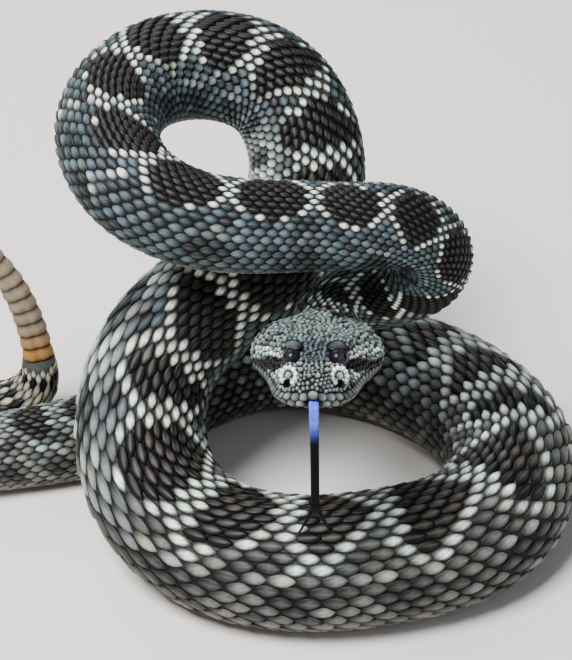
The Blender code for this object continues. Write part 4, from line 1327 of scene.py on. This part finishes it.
def make_head_scales():
    """The small scales of the head, the lip plates along the mouth, and the larger plates."""
    coat = Coat()
    side, heading, back = body.head_axes
    held = []
    radii = []

    def hold(places, reach):
        held.append(np.atleast_2d(places))
        radii.append(np.full(len(held[-1]), reach))

    for sign in BOTH_SIDES:
        flip = np.array([sign, 1, 1])
        place, half, wide, turn = BROW_PLATE
        ahead = unit(sign * turn * side - heading)[None]
        lay_on_head(coat, PLATE, in_front(place * flip), ahead, half, wide, rise=0.7, spread=1.0,
                    marking=BROW_SHADE_MARKING)
        for step in (-0.62, 0.0, 0.62):
            hold(in_front(place * flip + (0, half * step, 0)), wide)
        for place, half, wide, turn in SIDE_PLATES:
            ahead = unit(sign * turn * side - heading)[None]
            lay_on_head(coat, PLATE, in_front(place * flip), ahead, half, wide, rise=0.25)
            for step in (-0.4, 0.4):
                hold(in_front(place * flip + (0, half * step, 0)), wide * 0.95)
        for centre, (count, radius, half, wide), open_side in (
                (EYE_PLACE, EYE_RING, OPEN_BROW), (PIT_MOUTH, PIT_RING, None), (NOSE_RING, NOSE_BEADS, None)):
            places, away, turn = ring_places(centre, count, radius, sign)
            if open_side:
                keep = (turn < open_side[0]) | (turn > open_side[1])
                places, away = places[keep], away[keep]
            clear = ~in_opening(body.in_head(places)) | (centre is not NOSE_RING)
            places, away = places[clear], away[clear]
            lay_on_head(coat, BEAD, places, away, half, wide, rise=0.9 if centre is NOSE_RING else 0.35)
            hold(places, wide)
        for height, step, high in LIP_STEPS:
            places, along = lip_places(height, step, sign)
            lay_on_head(coat, PLATE, places, along, step / 2 * 1.1, high, rise=0.05, marking=LIP_MARKING)
            hold(places, high)
    for place, half, wide in MIDDLE_PLATES:
        ahead = np.array([back * np.sign(place[2] + 4)])
        lay_on_head(coat, PLATE, in_front(place), ahead, half, wide, rise=0.15)
        hold(in_front(place), wide)
    places = packed(np.concatenate(held), np.concatenate(radii))
    size = head_size(body.in_head(places))
    neck = smooth(body.in_head(places)[:, 1], 4, -6)
    lay_on_head(coat, BEAD, places, tailwards(len(places)), (0.66 + 0.34 * neck) * size, 0.55 * size,
                dusky=0.3 * smooth(body.in_head(places)[:, 1], 44, 36))
    coat.finish("head_scales", head_keratin)


# The eyes: radius, middle of the right one, the way it looks, and half width and height of its pupil
EYE_BALL = 3.2
EYE_MIDDLE = np.array(EYE_PLACE) + (0.1, 0.9, -0.1)
GAZE = (0.8, 0.58, 0.14)
PUPIL_HALF = (0.13, 0.62)


def make_eyes():
    """The eyes: glossy balls with a gaze of their own, out and a little forwards."""
    for sign, word in SIDE_WORDS:
        deselect_all()
        bpy.ops.mesh.primitive_uv_sphere_add(segments=48, ring_count=32, radius=EYE_BALL * MM)
        ball = bpy.context.object
        ball.name = f"eye_ball_{word}"
        ball.data.name = ball.name
        side, heading, back = body.head_axes
        gaze = unit(side * GAZE[0] * sign + heading * GAZE[1] + back * GAZE[2])
        level = unit(heading - gaze * dot(heading, gaze))
        rise = np.cross(gaze, level)
        flat = np.empty(len(ball.data.vertices) * 3)
        ball.data.vertices.foreach_get("co", flat)
        points = flat.reshape(-1, 3) / MM
        own = np.column_stack([dot(points, level), dot(points, rise), dot(points, gaze)]) / EYE_BALL
        store(ball.data, "gaze", own)
        shape(ball, points + body.from_head(EYE_MIDDLE * (sign, 1, 1)))
        ball.data.shade_smooth()
        ball.data.materials.append(eye_glass)
        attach(ball, "root")
        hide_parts(f"eye_{word}")


def make_eye_glass():
    """The eye under its clear scale: glossy, with a slit pupil and an iris speckled black and violet-grey."""
    material, tree, shader = new_material("eye, clear spectacle over the iris", 0.2, 0.12)
    gaze = add_node(tree, "ShaderNodeAttribute", {"attribute_name": "gaze"}).outputs["Vector"]
    ahead = add_node(tree, "ShaderNodeSeparateXYZ", {}, {0: gaze}).outputs[2]
    flat = add_node(tree, "ShaderNodeVectorMath", {"operation": "MULTIPLY"},
                    {0: gaze, 1: (1 / PUPIL_HALF[0], 1 / PUPIL_HALF[1], 0.0)})
    reach = add_node(tree, "ShaderNodeVectorMath", {"operation": "LENGTH"}, {0: flat.outputs["Vector"]})
    pupil = add_node(tree, "ShaderNodeMapRange", {},
                     {0: reach.outputs["Value"], 1: 0.85, 2: 1.1, 3: 1.0, 4: 0.0})
    place = add_node(tree, "ShaderNodeTexCoord").outputs["Object"]
    speck = add_node(tree, "ShaderNodeTexNoise", {},
                     {0: place, "Scale": 1 / (IRIS_SPECK * MM), "Detail": 3.0})
    share = add_node(tree, "ShaderNodeMapRange", {}, {0: speck.outputs[0], 1: 0.4, 2: 0.65, 3: 0.0, 4: 1.0})
    iris = add_node(tree, "ShaderNodeMix", BLEND,
                    {0: share.outputs[0], 6: hex_colour("100d12"), 7: hex_colour("322b36")})
    edge = add_node(tree, "ShaderNodeMapRange", {}, {0: ahead, 1: 0.45, 2: 0.75, 3: 0.0, 4: 1.0})
    colour = add_node(tree, "ShaderNodeMix", BLEND,
                      {0: edge.outputs[0], 6: hex_colour("17131a"), 7: iris.outputs[2]})
    colour = add_node(tree, "ShaderNodeMix", BLEND,
                      {0: pupil.outputs[0], 6: colour.outputs[2], 7: hex_colour("040404")})
    tree.links.new(colour.outputs[2], shader.inputs["Base Color"])
    return material


eye_glass = make_eye_glass()


def ribbon_rings(points, widths, thicks, across, sides=20):
    """Rings of a flat strap with a soft furrow along its top."""
    points = np.asarray(points)
    along = unit(np.gradient(points, axis=0))
    side = unit(across - along * dot(along, across)[:, None])
    rise = np.cross(side, along)
    turn = np.arange(sides) * 2 * math.pi / sides
    wide = np.cos(turn)[None] * np.asarray(widths)[:, None] / 2
    furrow = 1 - 0.35 * np.exp(-(np.cos(turn) / 0.3) ** 2)
    thick = (np.sin(turn) * furrow)[None] * np.asarray(thicks)[:, None] / 2
    return points[:, None] + side[:, None] * wide[..., None] + rise[:, None] * thick[..., None]


def make_tongue():
    """The forked tongue, hanging from the notch of the snout."""
    side, heading = body.head_axes[:2]
    root = body.from_head(np.array(TONGUE_ROOT))
    share = np.linspace(0, 1, 41)
    stem = (root + heading * (TONGUE_REACH * (1 - (1 - share) ** 2))[:, None]
            + side * (TONGUE_SWAY * share)[:, None]
            - np.array([0, 0, 1]) * (TONGUE_DROP * share ** TONGUE_DROOP)[:, None])
    narrow = 1 - TONGUE_NARROWING * np.minimum(1, share * 1.5)
    close_end = np.sqrt(np.clip((1.02 - share) / 0.05, 0.04, 1))
    pieces = [(stem, TONGUE_WIDTH * narrow * close_end, TONGUE_THICK * narrow ** 0.5 * close_end, share)]
    fork = stem[-3]
    drop = unit(stem[-1] - stem[-3])
    out = np.linspace(0, 1, 25)
    for sign in BOTH_SIDES:
        spread = side * (sign * (FORK_START + FORK_SPREAD * out ** FORK_CURL))[:, None]
        tine = fork + spread + drop * (FORK_LENGTH * out)[:, None]
        pieces.append((tine, 1.35 * FORK_WIDTH * (1 - FORK_TAPER * out), FORK_WIDTH * (1 - FORK_TAPER * out),
                       1 + out))
    parts = []
    for points, widths, thicks, run in pieces:
        rings = ribbon_rings(points, widths, thicks, side)
        table = np.zeros((*rings.shape[:2], 3))
        table[..., 0] = run[:, None]
        parts.append(tube("tongue_flesh", rings, {"along": table}))
    deselect_all()
    for part in parts:
        part.select_set(True)
    bpy.context.view_layer.objects.active = parts[0]
    bpy.ops.object.join()
    tongue = parts[0]
    tongue.data.materials.append(make_tongue_flesh())
    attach(tongue, "root")
    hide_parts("tongue")


def make_tongue_flesh():
    """Wet flesh with a low shine: bright blue by the lips, black towards the fork."""
    material, tree, shader = new_material("wet tongue", 0.42, 0.05)
    along = add_node(tree, "ShaderNodeAttribute", {"attribute_name": "along"})
    apart = add_node(tree, "ShaderNodeSeparateXYZ", {}, {0: along.outputs["Vector"]})
    share = add_node(tree, "ShaderNodeMapRange", {"interpolation_type": "SMOOTHSTEP"},
                     {0: apart.outputs[0], 1: 0.42, 2: 0.62, 3: 0.0, 4: 1.0})
    place = add_node(tree, "ShaderNodeTexCoord").outputs["Object"]
    mottle = add_node(tree, "ShaderNodeTexNoise", {}, {0: place, "Scale": 1 / (TONGUE_MOTTLE * MM)})
    blue = add_node(tree, "ShaderNodeMix", BLEND,
                    {0: mottle.outputs[0], 6: hex_colour("3038a8"), 7: hex_colour("6276ea")})
    colour = add_node(tree, "ShaderNodeMix", BLEND,
                      {0: share.outputs[0], 6: blue.outputs[2], 7: hex_colour("050508")})
    tree.links.new(colour.outputs[2], shader.inputs["Base Color"])
    bump = add_node(tree, "ShaderNodeBump", {},
                    {"Strength": 0.2, "Distance": 0.0002, "Height": mottle.outputs[0]})
    tree.links.new(bump.outputs[0], shader.inputs["Normal"])
    return material


# Half width of a rattle segment along its length, as shares of the segment and of the widest place
SEGMENT = [(0.0, 0.86), (0.08, 0.95), (0.28, 1.0), (0.5, 0.98), (0.66, 0.94), (0.8, 0.93), (0.93, 0.87),
           (1.0, 0.77)]
RATTLE_SIDES = 44
WAIST_DEPTH = 0.16
WAIST_WIDTH = 1.6


def make_rattle():
    """The rattle: horn segments with two lobes each, one on the other."""
    middle, heading, side, back = (row[0] for row in body.frames(np.array([0.0])))
    start = middle - heading * 0.3
    rings = []
    tables = []
    for segment in range(RATTLE_SEGMENTS):
        for share, size in SEGMENT:
            u = (segment + share) / RATTLE_SEGMENTS
            centre = start - heading * RATTLE_LENGTH * u + back * RATTLE_LEAN * u ** RATTLE_CURL
            along = unit(back * RATTLE_LEAN * RATTLE_CURL * u ** (RATTLE_CURL - 1) - heading * RATTLE_LENGTH)
            across = unit(back - along * dot(back, along))
            scale = size * (1 + (RATTLE_TAPER - 1) * u)
            turn = np.arange(RATTLE_SIDES) * 2 * math.pi / RATTLE_SIDES
            wide = RATTLE_WIDTH / 2 * np.cos(turn)
            thick = RATTLE_THICK / 2 * np.sin(turn) * (1 - WAIST_DEPTH * np.exp(-(wide / WAIST_WIDTH) ** 2))
            rings.append(centre + (across * wide[:, None] + side * thick[:, None]) * scale)
            tables.append(np.tile([u, share, segment / RATTLE_SEGMENTS], (RATTLE_SIDES, 1)))
    rattle = tube("rattle_horn", rings, {"horn": np.array(tables)})
    rattle.data.materials.append(make_rattle_horn())
    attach(rattle, "root")
    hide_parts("rattle")


def make_rattle_horn():
    """Dry horn: satin tan-grey, orange on the newest segment, dark in the joints, with fine growth lines."""
    material, tree, shader = new_material("rattle horn", 0.45)
    horn = add_node(tree, "ShaderNodeAttribute", {"attribute_name": "horn"})
    whole, part = add_node(tree, "ShaderNodeSeparateXYZ", {}, {0: horn.outputs["Vector"]}).outputs[:2]
    place = add_node(tree, "ShaderNodeTexCoord").outputs["Object"]
    cloud = add_node(tree, "ShaderNodeTexNoise", {}, {0: place, "Scale": 1 / (RATTLE_CLOUD * MM)})
    base = add_node(tree, "ShaderNodeMix", BLEND,
                    {0: cloud.outputs[0], 6: hex_colour("6d5f4c"), 7: hex_colour("a8977a")})
    # Orange on the newest segment, dark towards each joint, and dark again where the next segment begins
    for value, low, high, start, end, shade in (
            (whole, 0.1, 0.3, 0.75, 0.0, "b9812f"), (part, 0.72, 0.97, 0.0, 0.9, "1d1611"),
            (part, 0.0, 0.12, 0.6, 0.0, "2a2018")):
        share = add_node(tree, "ShaderNodeMapRange", {}, {0: value, 1: low, 2: high, 3: start, 4: end})
        base = add_node(tree, "ShaderNodeMix", BLEND,
                        {0: share.outputs[0], 6: base.outputs[2], 7: hex_colour(shade)})
    tree.links.new(base.outputs[2], shader.inputs["Base Color"])
    lines = add_node(tree, "ShaderNodeTexNoise", {},
                     {0: place, "Scale": 1 / (RATTLE_LINE * MM), "Detail": 2.0})
    bump = add_node(tree, "ShaderNodeBump", {},
                    {"Strength": 0.3, "Distance": 0.0003, "Height": lines.outputs[0]})
    tree.links.new(bump.outputs[0], shader.inputs["Normal"])
    return material


make_skin()
make_dorsal()
make_tail()
make_head_scales()
make_eyes()
make_tongue()
make_rattle()


# Lights: place and size in metres, power, colour. Then the sky's share, and the camera: what it looks at, its
# focal length, how far off it stands and how high over the floor it looks from
LIGHTS = (
    ("key", (-0.55, -0.5, 1.6), 0.7, 84.0, "fbfbff"),
    ("fill", (1.2, -0.9, 0.8), 1.6, 7.0, "e2ecff"),
    ("rim", (-0.5, 1.2, 1.0), 0.9, 16.0, "eef4ff"),
)
SKY_LIGHT = 0.24
AIM = (42.0, 25.0, 60.0)
FOCAL_LENGTH = 204.5
CAMERA_AWAY = 1.25
CAMERA_HEIGHT = 40.0


def make_stage():
    """A plain pale floor, soft studio light and the camera at the photo's angle."""
    deselect_all()
    bpy.ops.mesh.primitive_plane_add(size=6.0)
    floor = bpy.context.object
    floor.name = "floor"
    paint, shader = new_material("matt floor paint", 0.9)[::2]
    shader.inputs["Base Color"].default_value = hex_colour("d9d4cc")
    floor.data.materials.append(paint)
    aim = Vector(AIM) * MM
    for name, spot, size, power, colour in LIGHTS:
        light = bpy.data.lights.new(name, "AREA")
        light.size = size
        light.energy = power
        light.color = hex_colour(colour)[:3]
        lamp = bpy.data.objects.new(name, light)
        lamp.location = spot
        lamp.rotation_euler = (Vector(spot) - aim).to_track_quat("Z", "Y").to_euler()
        bpy.context.scene.collection.objects.link(lamp)
    world = bpy.data.worlds.new("studio")
    bpy.context.scene.world = world
    world.use_nodes = True
    world.node_tree.nodes["Background"].inputs[0].default_value = hex_colour("dfe6ee")
    world.node_tree.nodes["Background"].inputs[1].default_value = SKY_LIGHT
    lens = bpy.data.cameras.new("camera")
    lens.lens = FOCAL_LENGTH
    lens.clip_start = 0.05
    camera = bpy.data.objects.new("camera", lens)
    height = math.radians(CAMERA_HEIGHT)
    away = Vector((0, -math.cos(height), math.sin(height)))
    camera.location = aim + away * CAMERA_AWAY
    camera.rotation_euler = away.to_track_quat("Z", "Y").to_euler()
    bpy.context.scene.collection.objects.link(camera)
    bpy.context.scene.camera = camera


make_stage()
